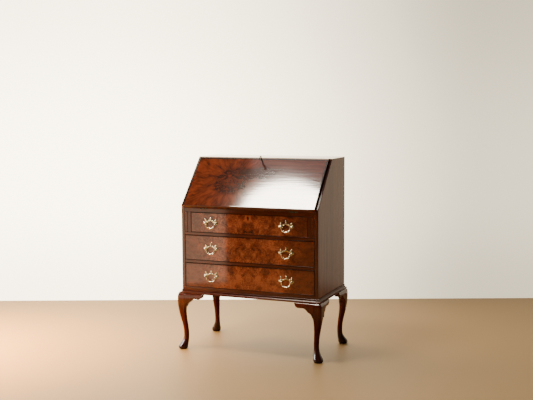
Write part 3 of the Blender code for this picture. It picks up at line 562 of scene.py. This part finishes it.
def burr_veneer():
    """Burr walnut, opened like a book about the middle: swirls, knots and clusters of small dark eyes."""
    made = bpy.data.materials.get("burr_veneer")
    if made:
        return made
    light, dark = shades_of("burr")
    middle = settings("bureau_woods").burr_middle
    material, tree, shader = start("burr_veneer", 0.36, 1.0, 0.06)
    x, y, z = axes(tree, object_place(tree))
    place = combined(tree, maths(tree, "ABSOLUTE", x), y, z)
    swirled = warped(tree, warped(tree, place, 9, 0.09), 45, 0.018)
    clouds = noise(tree, swirled, 17, 4, 0.60, 0.6)
    burr = noise(tree, swirled, 95, 5, 0.72, 1.6)
    fine = noise(tree, swirled, 330, 3, 0.6, 0.5)
    # Painted light: the lower drawers' figure is made a little paler
    pale = below(tree, z, *PAINTED_LIGHT_BELOW)
    figure = weighed(tree, (clouds, 0.46), (burr, 0.42), (fine, 0.12), (pale, 0.048))
    shade = ramp(tree, figure, (0.40, dark), (0.49, middle), (0.585, light))
    clusters = between(tree, noise(tree, place, 18, 2), 0.44, 0.60)
    eyes = times(tree, below(tree, from_spots(tree, swirled, 130), 0.12, 0.40), clusters)
    shade = mixed(tree, times(tree, eyes, 0.80), shade, dark)
    knots = below(tree, from_spots(tree, warped(tree, place, 40, 0.016), 9), 0.05, 0.24)
    shade = mixed(tree, times(tree, knots, 0.75), shade, dark)

    # Towards the ends the burr gives way to plain, darker figure: plain veneer, and partly painted shade
    lines = stretched(tree, warped(tree, place, 5, 0.03), (14, 60, 60))
    stripes = noise(tree, lines, 1.2, 5, 0.62, 0.4)
    plain = ramp(tree, stripes, (0.36, dimmed(middle, 0.5)), (0.62, dimmed(middle, 0.85)))
    ends = between(tree, axes(tree, warped(tree, place, 14, 0.16))[0], *PLAIN_SHADED_ENDS)
    shade = mixed(tree, times(tree, ends, 0.80), shade, plain)

    # Painted shadow: the burr is darkened round the upper drawer's keyhole
    keyhole = (0, 0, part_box("drawer_1_front")[1].z - KEYHOLE_BELOW_TOP)
    across, _, up = axes(tree, seen_from(tree, object_place(tree), keyhole, scale=KEYHOLE_SHADOW_REACH))
    rim = below(tree, length(tree, combined(tree, across, up)), 0.65, 1.05)
    shade = mixed(tree, times(tree, rim, 0.9), shade, dimmed(dark, 0.3))
    link_surface(tree, shader, shade, burr, 0.00010, 0.000012)
    return material


def oval(tree, flat, middle, reach, push_scale, push):
    """Distance from an oval's middle, 1 on its edge, pushed ragged by a noise; and the turn round it."""
    place = seen_from(tree, flat, (*middle, 0), scale=(*reach, 1))
    across, up, _ = axes(tree, warped(tree, place, push_scale, push))
    turn = maths(tree, "ARCTAN2", up, times(tree, across, -1))
    return length(tree, combined(tree, across, up)), turn


def fall_veneer():
    """Figured veneer: a dark ragged crown, streaks that fan out from it, straight lines to the right."""
    made = bpy.data.materials.get("figured_veneer")
    if made:
        return made
    light, dark = shades_of("fall")
    middle = blended(light, dark, 0.62)
    material, tree, shader = start("figured_veneer", 0.36, 1.0, 0.08)
    slope = seen_from(tree, object_place(tree), hinge_line, (slope_angle, 0, 0))
    flat = warped(tree, warped(tree, slope, 4, 0.045), 24, 0.007)

    reach, turn = oval(tree, flat, CROWN_MIDDLE, CROWN_REACH, 1.6, 0.40)
    wide_rays = combined(tree, times(tree, turn, 3.2), times(tree, reach, 0.9))
    fine_rays = combined(tree, times(tree, turn, 13.0), times(tree, reach, 1.1))
    broad = noise(tree, wide_rays, 1.2, 4, 0.5, 0.5)
    fine = noise(tree, fine_rays, 1.5, 5, 0.62, 0.5)
    fan = weighed(tree, (broad, 0.55), (fine, 0.45))
    straight = noise(tree, stretched(tree, flat, (2.5, 55, 1)), 1.4, 6, 0.62, 0.4)
    to_right = between(tree, axes(tree, flat)[0], -0.05, 0.10)
    figure = mixed(tree, to_right, fan, straight)
    shade = ramp(tree, figure, (0.30, dark), (0.43, dimmed(middle, 0.70)), (0.58, light))

    curls = stretched(tree, warped(tree, flat, 50, 0.020), (0.7, 1.4, 1))
    burr = noise(tree, curls, 36, 6, 0.74, 1.8)
    crown = ramp(tree, burr, (0.43, dimmed(dark, 0.6)), (0.53, middle), (0.62, light))
    crown = mixed(tree, 0.25, crown, dark)
    shade = mixed(tree, times(tree, below(tree, reach, 0.80, 1.25), 0.85), shade, crown)
    patches = between(tree, noise(tree, flat, 26, 6, 0.75, 1.0), 0.42, 0.60)
    rim = times(tree, between(tree, reach, 0.30, 0.80), below(tree, reach, 0.90, 1.35))
    shade = mixed(tree, times(tree, times(tree, rim, patches), 0.75), shade, dark)
    cloud_reach, _ = oval(tree, flat, CLOUD_MIDDLE, CLOUD_REACH, 2.2, 0.55)
    shade = mixed(tree, times(tree, below(tree, cloud_reach, 0.35, 1.20), 0.80), shade, dark)
    shade = mixed(tree, times(tree, to_right, 0.45), shade, dimmed(middle, 0.6))

    # Dark border along the sides and top: a dark crossband, and partly painted shade of the rounded edges
    across, up, _ = axes(tree, slope)
    side_edges = between(tree, maths(tree, "ABSOLUTE", across), *SIDE_EDGE)
    edges = maths(tree, "MAXIMUM", side_edges, between(tree, up, *UPPER_EDGE))
    shade = mixed(tree, edges, shade, shades_of("edge")[1])
    pores = noise(tree, stretched(tree, flat, (30, 260, 1)), 1.0, 3)
    ripple = noise(tree, stretched(tree, slope, (5, 95, 1)), 1.0, 3, 0.5, 0.3)
    relief = maths(tree, "ADD", times(tree, pores, 0.10), ripple)
    link_surface(tree, shader, shade, relief, 0.00010, 0.00012)
    return material


def metal(name, light, dark, rough, patch_scale):
    """Old metal: rubbed bright in places, dark and rougher in others."""
    made = bpy.data.materials.get(name)
    if made:
        return made
    material, tree, shader = start(name, rough, metallic=1.0)
    place = object_place(tree)
    patches = noise(tree, place, patch_scale, 4, 0.6)
    specks = noise(tree, place, 900, 3, 0.6)
    wear = weighed(tree, (patches, 0.7), (specks, 0.3))
    shade = ramp(tree, wear, (0.40, dark), (0.60, light))
    fill = {"Value": wear, "From Min": 0.35, "From Max": 0.65}
    worn = node(tree, "MapRange", {**fill, "To Min": rough * 1.25, "To Max": rough * 0.7})
    tree.links.new(worn.outputs[0], shader.inputs["Roughness"])
    link_surface(tree, shader, shade, specks, 0.00005)
    return material


def brass():
    metals = settings("bureau_metals")
    return metal("old_brass", metals.brass_light, metals.brass_dark, 0.24, 130)


# Darker brass: dull on the drawer locks, and painted shade on the hinges' knuckles
def dull_brass():
    aged = settings("bureau_metals").brass_dark
    return metal("dull_brass", dimmed(aged, 0.30), dimmed(aged, 0.08), 0.5, 140)


def key_steel():
    metals = settings("bureau_metals")
    return metal("key_steel", metals.steel_light, metals.steel_dark, 0.4, 300)


# Modelling


def deselect():
    bpy.ops.object.select_all(action="DESELECT")


def only(piece):
    deselect()
    piece.select_set(True)
    bpy.context.view_layer.objects.active = piece
    return piece


def edit(piece):
    only(piece)
    bpy.ops.object.mode_set(mode="EDIT")
    bpy.ops.mesh.select_all(action="SELECT")


def leave_edit():
    bpy.ops.object.mode_set(mode="OBJECT")


def merged(piece):
    edit(piece)
    bpy.ops.mesh.remove_doubles(threshold=MERGE_DISTANCE)
    leave_edit()
    return piece


def outward(piece):
    edit(piece)
    bpy.ops.mesh.normals_make_consistent(inside=False)
    leave_edit()
    return piece


def place_in_mesh(piece, matrix):
    piece.matrix_world = matrix
    only(piece)
    bpy.ops.object.transform_apply(location=True, rotation=True, scale=True)
    return piece


def joined(pieces, name):
    deselect()
    for piece in pieces:
        piece.select_set(True)
    bpy.context.view_layer.objects.active = pieces[0]
    bpy.ops.object.join()
    pieces[0].name = pieces[0].data.name = name
    return pieces[0]


def apply_modifier(piece, kind, **values):
    only(piece)
    modifier = piece.modifiers.new(kind.lower(), kind)
    for name, value in values.items():
        setattr(modifier, name, value)
    bpy.ops.object.modifier_apply(modifier=modifier.name)


def cut(piece, cutter):
    apply_modifier(piece, "BOOLEAN", operation="DIFFERENCE", solver="EXACT", object=cutter)
    bpy.data.objects.remove(cutter)
    return piece


def shade_by_angle(piece, degrees, flat_faces=False):
    """Smooth shading up to an angle; flat faces can stay flat right to their edges."""
    only(piece)
    bpy.ops.object.shade_smooth_by_angle(angle=math.radians(degrees))
    if flat_faces:
        apply_modifier(piece, "WEIGHTED_NORMAL", mode="FACE_AREA", weight=100, keep_sharp=True)
    return piece


def copy_of(node_name, name):
    """A piece that starts as a copy of a CAD node, with its loose triangles merged."""
    only(frame["nodes"][node_name])
    bpy.ops.object.duplicate()
    piece = bpy.context.active_object
    piece.name = piece.data.name = name
    piece.parent = None
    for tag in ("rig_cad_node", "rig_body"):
        del piece[tag]
    return merged(piece)


def eased_copy(node_name, name):
    """A board with its edges taken off."""
    piece = copy_of(node_name, name)
    edit(piece)
    bpy.ops.mesh.dissolve_limited(angle_limit=math.radians(0.6))
    leave_edit()
    width, corner = settings("bureau_shapes").edge_round, math.radians(40)
    apply_modifier(piece, "BEVEL", width=width, segments=2, limit_method="ANGLE", angle_limit=corner)
    return shade_by_angle(piece, 35, flat_faces=True)


def smooth_copy(node_name, name, crease_degrees):
    """A shaped piece with its facets made into curves, and its real corners kept."""
    piece = copy_of(node_name, name)
    edit(piece)
    bpy.ops.mesh.tris_convert_to_quads(face_threshold=math.radians(60), shape_threshold=math.radians(60))
    bpy.ops.mesh.select_all(action="DESELECT")
    bpy.ops.mesh.select_mode(type="EDGE")
    bpy.ops.mesh.edges_select_sharp(sharpness=math.radians(crease_degrees))
    bpy.ops.transform.edge_crease(value=1)
    bpy.ops.mesh.select_mode(type="VERT")
    leave_edit()
    levels = settings("bureau_shapes").smoothness
    apply_modifier(piece, "SUBSURF", levels=levels, render_levels=levels)
    return shade_by_angle(piece, 40)


def dress(piece, body, material, node_name):
    """The piece gets its finish, rides on its body and stands for its CAD node."""
    piece.data.materials.clear()
    piece.data.materials.append(material)
    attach(piece, body)
    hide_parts(node_name)
    return piece


def board(node_name, name, body, material):
    """A CAD board with its edges eased and its finish on."""
    return dress(eased_copy(node_name, name), body, material, node_name)


def carving(node_name, name, material, crease_degrees=48):
    """A shaped part of the stand, smoothed and with its finish on."""
    return dress(smooth_copy(node_name, name, crease_degrees), "case", material, node_name)


def paint_faces(piece, material, chosen, *limits):
    """Gives a second finish to the faces that the test picks by their middle and normal."""
    piece.data.materials.append(material)
    index = len(piece.data.materials) - 1
    for face in piece.data.polygons:
        if chosen(face.center, face.normal, *limits):
            face.material_index = index


def finish_node(node_name, material):
    """A CAD node whose shape is right gets a better finish."""
    mesh = frame["nodes"][node_name].data
    mesh.materials.clear()
    mesh.materials.append(material)


def turned_piece(name, profile, matrix, steps):
    """A disc grown along its axis: each step of the profile is an extrusion, resized."""
    deselect()
    radius, height = profile[0]
    foot = (0, 0, height)
    bpy.ops.mesh.primitive_circle_add(vertices=steps, radius=radius, fill_type="NGON", location=foot)
    piece = only(bpy.context.active_object)
    bpy.ops.object.transform_apply(location=True)
    edit(piece)
    for next_radius, next_height in profile[1:]:
        bpy.ops.mesh.extrude_region_move(TRANSFORM_OT_translate={"value": (0, 0, next_height - height)})
        share = next_radius / radius
        bpy.ops.transform.resize(value=(share, share, 1), center_override=(0, 0, 0))
        radius, height = next_radius, next_height
    leave_edit()
    piece.name = piece.data.name = name
    return shade_by_angle(outward(place_in_mesh(piece, matrix)), 40)


def block(size, matrix):
    deselect()
    bpy.ops.mesh.primitive_cube_add(size=1)
    return place_in_mesh(bpy.context.active_object, matrix @ Matrix.Diagonal((*size, 1)))


def smooth_line(curve, points, resolution):
    """Replaces a curve's line by a smooth one along the points."""
    curve.splines.clear()
    line = curve.splines.new("NURBS")
    line.points.add(len(points) - 1)
    for point, place in zip(line.points, points):
        point.co = (*place, 1)
    line.order_u = 3
    line.resolution_u = resolution
    return line


def curve_to_mesh(piece, name, matrix):
    """The curve made into a closed mesh at its place."""
    only(piece)
    bpy.ops.object.convert(target="MESH")
    made = bpy.context.active_object
    made.name = made.data.name = name
    return shade_by_angle(outward(merged(place_in_mesh(made, matrix))), 50)


def tube(name, points, radius, matrix, sides):
    """A bent rod through (x, y, z, thickness) points."""
    deselect()
    bpy.ops.curve.primitive_nurbs_path_add()
    rod = bpy.context.active_object
    curve = rod.data
    line = smooth_line(curve, [place for *place, thickness in points], 4)
    line.use_endpoint_u = True
    for point, (*place, thickness) in zip(line.points, points):
        point.radius = thickness
    curve.bevel_depth = radius
    curve.bevel_resolution = sides
    curve.use_fill_caps = True
    return curve_to_mesh(rod, name, matrix)


def flat_casting(name, outline, thickness, matrix):
    """A flat plate with rounded edges, cut to a smooth outline."""
    deselect()
    bpy.ops.curve.primitive_nurbs_circle_add()
    plate = bpy.context.active_object
    curve = plate.data
    curve.dimensions = "2D"
    curve.fill_mode = "BOTH"
    line = smooth_line(curve, [(across, up, 0) for across, up in outline], 3)
    line.use_cyclic_u = True
    curve.bevel_depth = thickness * 0.42
    curve.bevel_resolution = 2
    curve.offset = -curve.bevel_depth * 0.8
    curve.extrude = thickness / 2 - curve.bevel_depth
    return curve_to_mesh(plate, name, matrix)


def handle_post(x, rear, pivot):
    """A turned post with a collar and a round head, bored across for the handle's pin."""
    post = turned_piece("post", POST_PROFILE, Matrix.Translation((x, rear, pivot.z)) @ TO_THE_FRONT, 24)
    deselect()
    bore = {"radius": POST_BORE, "location": (x, pivot.y, pivot.z), "rotation": (0, math.pi / 2, 0)}
    bpy.ops.mesh.primitive_cylinder_add(vertices=20, depth=0.02, **bore)
    return cut(post, bpy.context.active_object)


def handle_plate(name, middle, rear, pivot):
    """A pierced plate with its two posts."""
    half = [(across * PLATE_HALF, up * PLATE_RISE) for across, up in PLATE_OUTLINE]
    outline = half + [(-across, up) for across, up in reversed(half[1:-1])]
    facing = Matrix.Translation((middle, rear - PLATE_THICKNESS / 2, pivot.z)) @ TO_THE_FRONT
    parts = [flat_casting(name, outline, PLATE_THICKNESS, facing)]
    parts += [handle_post(middle + sign * POST_REACH, rear, pivot) for sign in (-1, 1)]
    return joined(parts, name)


def half_drop(shares, sign):
    return [(sign * across * BAIL_ARM, 0, down * BAIL_DROP, thick) for across, down, thick in shares]


def drop_handle(name, pivot):
    """A bent rod that swells at its shoulders and middle, with a leaf on each side of the middle."""
    radius = settings("bureau_shapes").bail_radius
    place = Matrix.Translation(pivot)
    left, right = (half_drop(BAIL_SHARES, sign) for sign in (-1, 1))
    # The left half runs back from next to the middle, which the right half ends with
    parts = [tube(name, right + left[-2::-1], radius, place, 5)]
    parts += [tube("leaf", half_drop(LEAF_SHARES, sign), radius, place, 4) for sign in (-1, 1)]
    return joined(parts, name)


def screw(place):
    """A screw's head, its slot turned a little, that stands on the given plane."""
    radius = settings("bureau_shapes").screw_radius
    profile = ((radius, SCREW_FOOT), (radius, SCREW_EDGE), (radius * 0.8, SCREW_TOP))
    head = turned_piece("screw", profile, place, 20)
    slot_place = place @ Matrix.Rotation(SCREW_TURN, 4, "Z") @ Matrix.Translation((0, 0, SCREW_TOP))
    return cut(head, block((radius * 3, SCREW_SLOT, SCREW_SLOT), slot_place))


def screwed_fitting(node_name, name, plane, screws):
    """A copy of a flat fitting with its screws' heads on the given plane."""
    parts = [copy_of(node_name, "fitting")]
    parts += [screw(plane @ Matrix.Translation((across, up, 0))) for across, up in screws]
    return shade_by_angle(joined(parts, name), 30)


# Tests that pick a board's faces


def faces_front_or_top(middle, normal):
    return abs(normal.x) < 0.7 and normal.y < 0.3


def lies_in_slope(middle, normal):
    return normal.dot(OUT_OF_SLOPE) > 0.9


def is_front_bevel(middle, normal):
    return normal.y < -0.1 and abs(normal.z) > 0.1


def is_off_slope(middle, normal):
    return normal.dot(OUT_OF_SLOPE) < 0.9


def faces_sideways(middle, normal):
    return abs(normal.x) > 0.5


def is_knuckle(middle, normal):
    return (middle - hinge_line).yz.length < KNUCKLE_REACH


def is_off_veneer(middle, normal, low, high):
    """True but for the flat face inside a drawer's cockbead."""
    inside = low.x + BEAD < middle.x < high.x - BEAD and low.z + BEAD < middle.z < high.z - BEAD
    return not (normal.y < -STRAIGHT and inside and middle.y > low.y + BEAD / 4)


def is_bead_edge(middle, normal, low, high):
    return middle.y < low.y + BEAD and normal.y > -STRAIGHT


def is_in_keyhole(middle, normal, low, high):
    return abs(middle.x) < KEYHOLE_HALF and low.y + BEAD < middle.y < high.y - BEAD


# Pieces


class BUREAU_OT_case(bpy.types.Operator):
    """Polished boards of the case, and the plain boards behind"""

    bl_idname = "bureau.case"
    bl_label = "Case"

    def execute(self, context):
        for side in SIDES:
            piece = board(f"side_{side}", f"polished_side_{side}", "case", walnut("Z"))
            paint_faces(piece, mahogany("Z", 1.0), faces_front_or_top)
            # The sides' sloped front edges get dark edge wood: painted shade of the gap beside the fall
            paint_faces(piece, dark_edge("Y", 0.06), lies_in_slope)
            board(f"loper_divider_{side}", f"polished_divider_{side}", "case", mahogany("Z"))
            board(f"loper_{side}", f"polished_loper_{side}", f"loper_{side}", mahogany("Y"))
        board("top_board", "polished_top", "case", walnut("X", 1.0, 0.12))
        for rail in ("writing_board", "dust_board_upper", "dust_board_lower", "bottom_board"):
            piece = board(rail, f"polished_{rail}", "case", mahogany("X"))
            # The rails' front bevels get the dark edge wood: painted shade in the gaps along the drawers
            paint_faces(piece, dark_edge("X"), is_front_bevel)
        finish_node("back_panel", carcass_wood("X"))
        return {"FINISHED"}


class BUREAU_OT_stand(bpy.types.Operator):
    """Mouldings, cabriole legs and knee brackets"""

    bl_idname = "bureau.stand"
    bl_label = "Stand"

    def execute(self, context):
        for rail, along in (("front", "X"), ("left", "Y"), ("right", "Y")):
            carving(f"base_moulding_{rail}", f"polished_moulding_{rail}", mahogany(along, 0.26, 0.22), 42)
        finish_node("stand_back_rail", carcass_wood("X"))
        for depth in ("front", "rear"):
            for side in SIDES:
                for part in (f"leg_{depth}_{side}", f"bracket_side_{depth}_{side}"):
                    carving(part, f"polished_{part}", leg_wood())
        for side in SIDES:
            carving(f"bracket_front_{side}", f"polished_bracket_front_{side}", leg_wood())
        return {"FINISHED"}


class BUREAU_OT_fall(bpy.types.Operator):
    """Veneered fall with its hinge leaves and lock"""

    bl_idname = "bureau.fall"
    bl_label = "Fall"

    def execute(self, context):
        panel = board("fall_panel", "veneered_fall", "fall", fall_veneer())
        paint_faces(panel, mahogany("X"), is_off_slope)
        # The fall's side lips: dark edge wood, and partly painted shade where they stand in their gap
        paint_faces(panel, dark_edge("Y"), faces_sideways)
        finish_node("fall_lock_bolt", brass())
        inside = slope_frame @ Matrix.Translation(LOCK_MIDDLE) @ TURNED_OVER
        lock = screwed_fitting("fall_lock", "screwed_fall_lock", inside, LOCK_SCREWS)
        dress(lock, "fall", brass(), "fall_lock")

        for side in SIDES:
            low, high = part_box(f"hinge_{side}_fall_leaf")
            along = Matrix.Translation(((low.x + high.x) / 2, 0, 0))
            on_board = Matrix.Translation(hinge_line) @ along
            on_fall = slope_frame @ along @ TURNED_OVER
            for half, body, plane in (("fixed", "case", on_board), ("fall", "fall", on_fall)):
                node_name = f"hinge_{side}_{half}_leaf"
                leaf = screwed_fitting(node_name, f"screwed_{node_name}", plane, LEAF_SCREWS)
                dress(leaf, body, brass(), node_name)
                # The knuckles get the darker brass as painted shade in the joint
                paint_faces(leaf, dull_brass(), is_knuckle)
        return {"FINISHED"}


class BUREAU_OT_drawers(bpy.types.Operator):
    """Burr veneered drawer fronts with their cockbeads, and the drawers behind"""

    bl_idname = "bureau.drawers"
    bl_label = "Drawers"

    def execute(self, context):
        for number in DRAWERS:
            drawer = f"drawer_{number}"
            front = f"{drawer}_front"
            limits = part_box(front)
            piece = board(front, f"veneered_{front}", drawer, burr_veneer())
            paint_faces(piece, mahogany("X"), is_off_veneer, *limits)
            paint_faces(piece, dark_edge("X"), is_bead_edge, *limits)
            # The keyhole's inside gets the dark edge wood as painted shade in the hole
            paint_faces(piece, dark_edge("X"), is_in_keyhole, *limits)
            finish_node(f"{drawer}_box", carcass_wood("Y"))
        for fitting in ("drawer_lock", "drawer_lock_bolt"):
            finish_node(fitting, dull_brass())
        return {"FINISHED"}


class BUREAU_OT_handles(bpy.types.Operator):
    """Pierced plates with posts and swan neck drop handles"""

    bl_idname = "bureau.handles"
    bl_label = "Handles"

    def execute(self, context):
        for number in DRAWERS:
            for side in SIDES:
                plate = f"handle_plate_{number}_{side}"
                low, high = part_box(plate)
                middle = (low.x + high.x) / 2
                pivot = Vector((middle, POST_Y, high.z - PLATE_RISE))
                casting = handle_plate(f"cast_{plate}", middle, high.y, pivot)
                dress(casting, f"drawer_{number}", brass(), plate)
                bail = f"bail_{number}_{side}"
                dress(drop_handle(f"cast_{bail}", pivot), bail, brass(), bail)
        return {"FINISHED"}


class BUREAU_OT_key(bpy.types.Operator):
    """Key in the fall's lock: turned shank with two collars, round bow and plain bit"""

    bl_idname = "bureau.key"
    bl_label = "Key"

    def execute(self, context):
        cad_key = frame["nodes"]["key"]
        to_slope = slope_frame.inverted() @ cad_key.matrix_world
        points = [to_slope @ vertex.co for vertex in cad_key.data.vertices]
        base = min(point.z for point in points)
        top = max(point.z for point in points)
        crown = [point for point in points if point.z > top - KEY_BOW_BAND]
        across = sum(point.x for point in crown) / len(crown)
        up = (min(point.y for point in crown) + max(point.y for point in crown)) / 2
        axis = slope_frame @ Matrix.Translation((across, up, 0))

        neck = top - 2 * KEY_BOW - 2 * KEY_WIRE
        profile = [(KEY_TIP_RADIUS, base)] + [(radius, neck - drop) for radius, drop in KEY_PROFILE]
        ring = []
        for step in range(KEY_BOW_STEPS + 1):
            turn = math.radians(-90 + step * 360 / KEY_BOW_STEPS)
            height = neck + KEY_WIRE + KEY_BOW * (1 + math.sin(turn))
            ring.append((0, math.cos(turn) * KEY_BOW * KEY_BOW_WIDER, height, 1.0))
        shank = turned_piece("shank", profile, axis, 24)
        bow = tube("bow", ring, KEY_WIRE, axis, 5)
        bit = block(KEY_BIT_SIZE, axis @ Matrix.Translation((0, KEY_BIT_REACH, base + KEY_BIT_RISE)))
        dress(joined([shank, bow, bit], "turned_key"), "key", key_steel(), "key")
        return {"FINISHED"}


class BUREAU_OT_inside(bpy.types.Operator):
    """Pigeonholes and small drawers behind the fall"""

    bl_idname = "bureau.inside"
    bl_label = "Inside"

    def execute(self, context):
        board("pigeonhole_unit", "fitted_pigeonholes", "case", walnut("X"))
        for side in SIDES:
            tray = f"small_drawer_{side}"
            board(tray, f"fitted_{tray}", tray, mahogany("X"))
            knob = f"small_drawer_knob_{side}"
            low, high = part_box(knob)
            foot = Matrix.Translation(((low.x + high.x) / 2, high.y, (low.z + high.z) / 2))
            turned = turned_piece(f"turned_{knob}", KNOB_PROFILE, foot @ TO_THE_FRONT, 32)
            dress(turned, tray, brass(), knob)
        return {"FINISHED"}


# Studio


def area_light(name, power, size, place, target, tint, shape="RECTANGLE", spread=180, **seen):
    """A light that the camera doesn't see, with flags for what else doesn't."""
    deselect()
    bpy.ops.object.light_add(type="AREA", location=place)
    lamp = bpy.context.active_object
    lamp.name = name
    lamp.data.shape = shape
    lamp.data.size, lamp.data.size_y = size
    lamp.data.spread = math.radians(spread)
    lamp.data.energy = power
    lamp.data.color = tint
    lamp.rotation_euler = (Vector(target) - Vector(place)).to_track_quat("-Z", "Y").to_euler()
    lamp.visible_camera = False
    for flag, value in seen.items():
        setattr(lamp, flag, value)


def backdrop(name, material, matrix):
    """A large plane, level before it is placed."""
    deselect()
    bpy.ops.mesh.primitive_grid_add(x_subdivisions=2, y_subdivisions=2, size=BACKDROP_SIZE)
    plane = bpy.context.active_object
    plane.name = name
    place_in_mesh(plane, matrix)
    plane.data.materials.append(material)


def floor_material(studio):
    material, _, shader = start("pale_floor", 0.55)
    shader.inputs["Base Color"].default_value = (*studio.floor_colour, 1)
    shader.inputs["Specular IOR Level"].default_value = 0.25
    return material


def wall_material(studio):
    """A glowing wall, its glow painted brighter on the left as if lit from there and painted dimmer at its
    foot and high up, and clear when seen from behind.
    """
    material, tree, shader = start("pale_wall", 0.8)
    tree.nodes.remove(shader)
    place = object_place(tree)
    along_wall = (math.cos(CAMERA_YAW), math.sin(CAMERA_YAW), 0)
    across = vector_maths(tree, "DOT_PRODUCT", {0: place, 1: along_wall}, "Value")
    # Painted light: the glow is stronger on the left, weaker at the foot and high up
    left, right = (studio.wall_glow * share for share in WALL_SHARES)
    strength = toned(tree, between(tree, across, *WALL_FADES), left, right)
    level = axes(tree, place)[2]
    foot = toned(tree, between(tree, level, *WALL_FOOT), 0.74, 1.0)
    high = toned(tree, between(tree, level, *WALL_TOP), 1.0, 0.68)
    strength = times(tree, strength, times(tree, foot, high))
    lit = node(tree, "Emission", {"Color": (*studio.wall_colour, 1), "Strength": strength}).outputs[0]
    behind = node(tree, "NewGeometry").outputs["Backfacing"]
    both = node(tree, "MixShader", {0: behind, 1: lit, 2: node(tree, "BsdfTransparent").outputs[0]})
    tree.links.new(both.outputs[0], tree.nodes["Material Output"].inputs["Surface"])
    return material


def even_light(studio):
    """A dim even light, which the camera sees as a pale backdrop."""
    glow = (*studio.wall_colour, 1)
    world = bpy.data.worlds.new("even_light")
    world.use_nodes = True
    tree = world.node_tree
    even = tree.nodes["Background"]
    even.inputs["Color"].default_value = glow
    even.inputs["Strength"].default_value = studio.world_strength
    pale = node(tree, "Background", {"Color": glow, "Strength": studio.wall_glow * 0.4})
    seen = node(tree, "LightPath").outputs["Is Camera Ray"]
    both = node(tree, "MixShader", {0: seen, 1: even.outputs[0], 2: pale.outputs[0]})
    tree.links.new(both.outputs[0], tree.nodes["World Output"].inputs["Surface"])
    return world


class BUREAU_OT_stage(bpy.types.Operator):
    """Pale floor and wall, soft lights, and the camera"""

    bl_idname = "bureau.stage"
    bl_label = "Studio"

    def execute(self, context):
        studio = settings("bureau_studio")
        facing = Matrix.Rotation(CAMERA_YAW, 4, "Z")
        tilted = Matrix.Rotation(math.pi / 2 - CAMERA_PITCH, 4, "X") @ Matrix.Rotation(CAMERA_ROLL, 4, "Z")
        deselect()
        bpy.ops.object.camera_add(location=CAMERA_PLACE, rotation=(facing @ tilted).to_euler())
        camera = bpy.context.active_object
        camera.data.sensor_width = SENSOR_WIDTH
        camera.data.lens = SENSOR_WIDTH * FOCAL_PIXELS / PICTURE_PIXELS
        context.scene.camera = camera

        backdrop("floor", floor_material(studio), Matrix())
        away = Vector((-math.sin(CAMERA_YAW), math.cos(CAMERA_YAW), 0))
        spot = CAMERA_PLACE.xy.to_3d() + away * WALL_DISTANCE
        backdrop("wall", wall_material(studio), Matrix.Translation(spot) @ facing @ TO_THE_FRONT)
        context.scene.world = even_light(studio)

        above, just_under, down = ((*CEILING_MIDDLE, height) for height in (3.0, 2.95, 0))
        hidden = {"visible_diffuse": False}
        area_light("ceiling_light", studio.ceiling_power, CEILING_SIZE, above, down, WHITE, shape="ELLIPSE")
        gleam = {"shape": "ELLIPSE", **hidden}
        area_light("ceiling_gleam", studio.gleam_power, CEILING_SIZE, just_under, down, SUNNY, **gleam)
        above, down = (-0.40, -0.10, 3.0), (-0.40, -0.10, 0)
        area_light("ceiling_glow", studio.glow_power, (1.05, 0.75), above, down, WHITE)
        place, target = (-1.415, -1.60, 0.35), (-0.265, -0.1, 0.40)
        area_light("window_light", studio.window_power, (1.2, 1.0), place, target, WARM)
        place, target = (-2.2, -1.2, 1.5), (-1.6, -0.75, 0)
        patch = {"spread": 62, "visible_glossy": False}
        area_light("floor_light", studio.floor_power, (0.8, 0.8), place, target, AMBER, **patch)
        place, target = (-2.6, 0.75, 1.05), (-0.4, -0.2, 0.3)
        area_light("side_light", studio.side_power, (1.0, 1.1), place, target, WHITE, **hidden)
        place, target = (-2.2, -1.2, 1.45), (-0.37, -0.20, 0.15)
        area_light("shine_light", studio.shine_power, (0.9, 0.9), place, target, WHITE, **hidden)
        area_light("fill_light", studio.fill_power, (2.0, 2.0), (2.6, -3.2, 2.4), (0, 0, 0.5), WHITE)
        return {"FINISHED"}


class BUREAU_PT_panel(bpy.types.Panel):
    """Lists the bureau's pieces"""

    bl_idname = "BUREAU_PT_panel"
    bl_label = "Writing Bureau"
    bl_space_type = "VIEW_3D"
    bl_region_type = "UI"
    bl_category = "Bureau"

    def draw(self, context):
        for operator in OPERATORS:
            self.layout.operator(operator.bl_idname)
        for name in GROUPS:
            group = settings(name)
            for prop in group.bl_rna.properties:
                if prop.identifier not in ("rna_type", "name"):
                    self.layout.prop(group, prop.identifier)


GROUPS = {
    "bureau_woods": BureauWoods,
    "bureau_metals": BureauMetals,
    "bureau_shapes": BureauShapes,
    "bureau_studio": BureauStudio,
}
OPERATORS = (
    BUREAU_OT_case,
    BUREAU_OT_stand,
    BUREAU_OT_fall,
    BUREAU_OT_drawers,
    BUREAU_OT_handles,
    BUREAU_OT_key,
    BUREAU_OT_inside,
    BUREAU_OT_stage,
)


def register():
    for name, group in GROUPS.items():
        bpy.utils.register_class(group)
        setattr(bpy.types.Scene, name, PointerProperty(type=group))
    for operator in OPERATORS:
        bpy.utils.register_class(operator)
    bpy.utils.register_class(BUREAU_PT_panel)


def unregister():
    bpy.utils.unregister_class(BUREAU_PT_panel)
    for operator in reversed(OPERATORS):
        bpy.utils.unregister_class(operator)
    for name, group in GROUPS.items():
        delattr(bpy.types.Scene, name)
        bpy.utils.unregister_class(group)


def main():
    register()
    for operator in OPERATORS:
        area, name = operator.bl_idname.split(".")
        getattr(getattr(bpy.ops, area), name)()


if __name__ == "__main__":
    main()
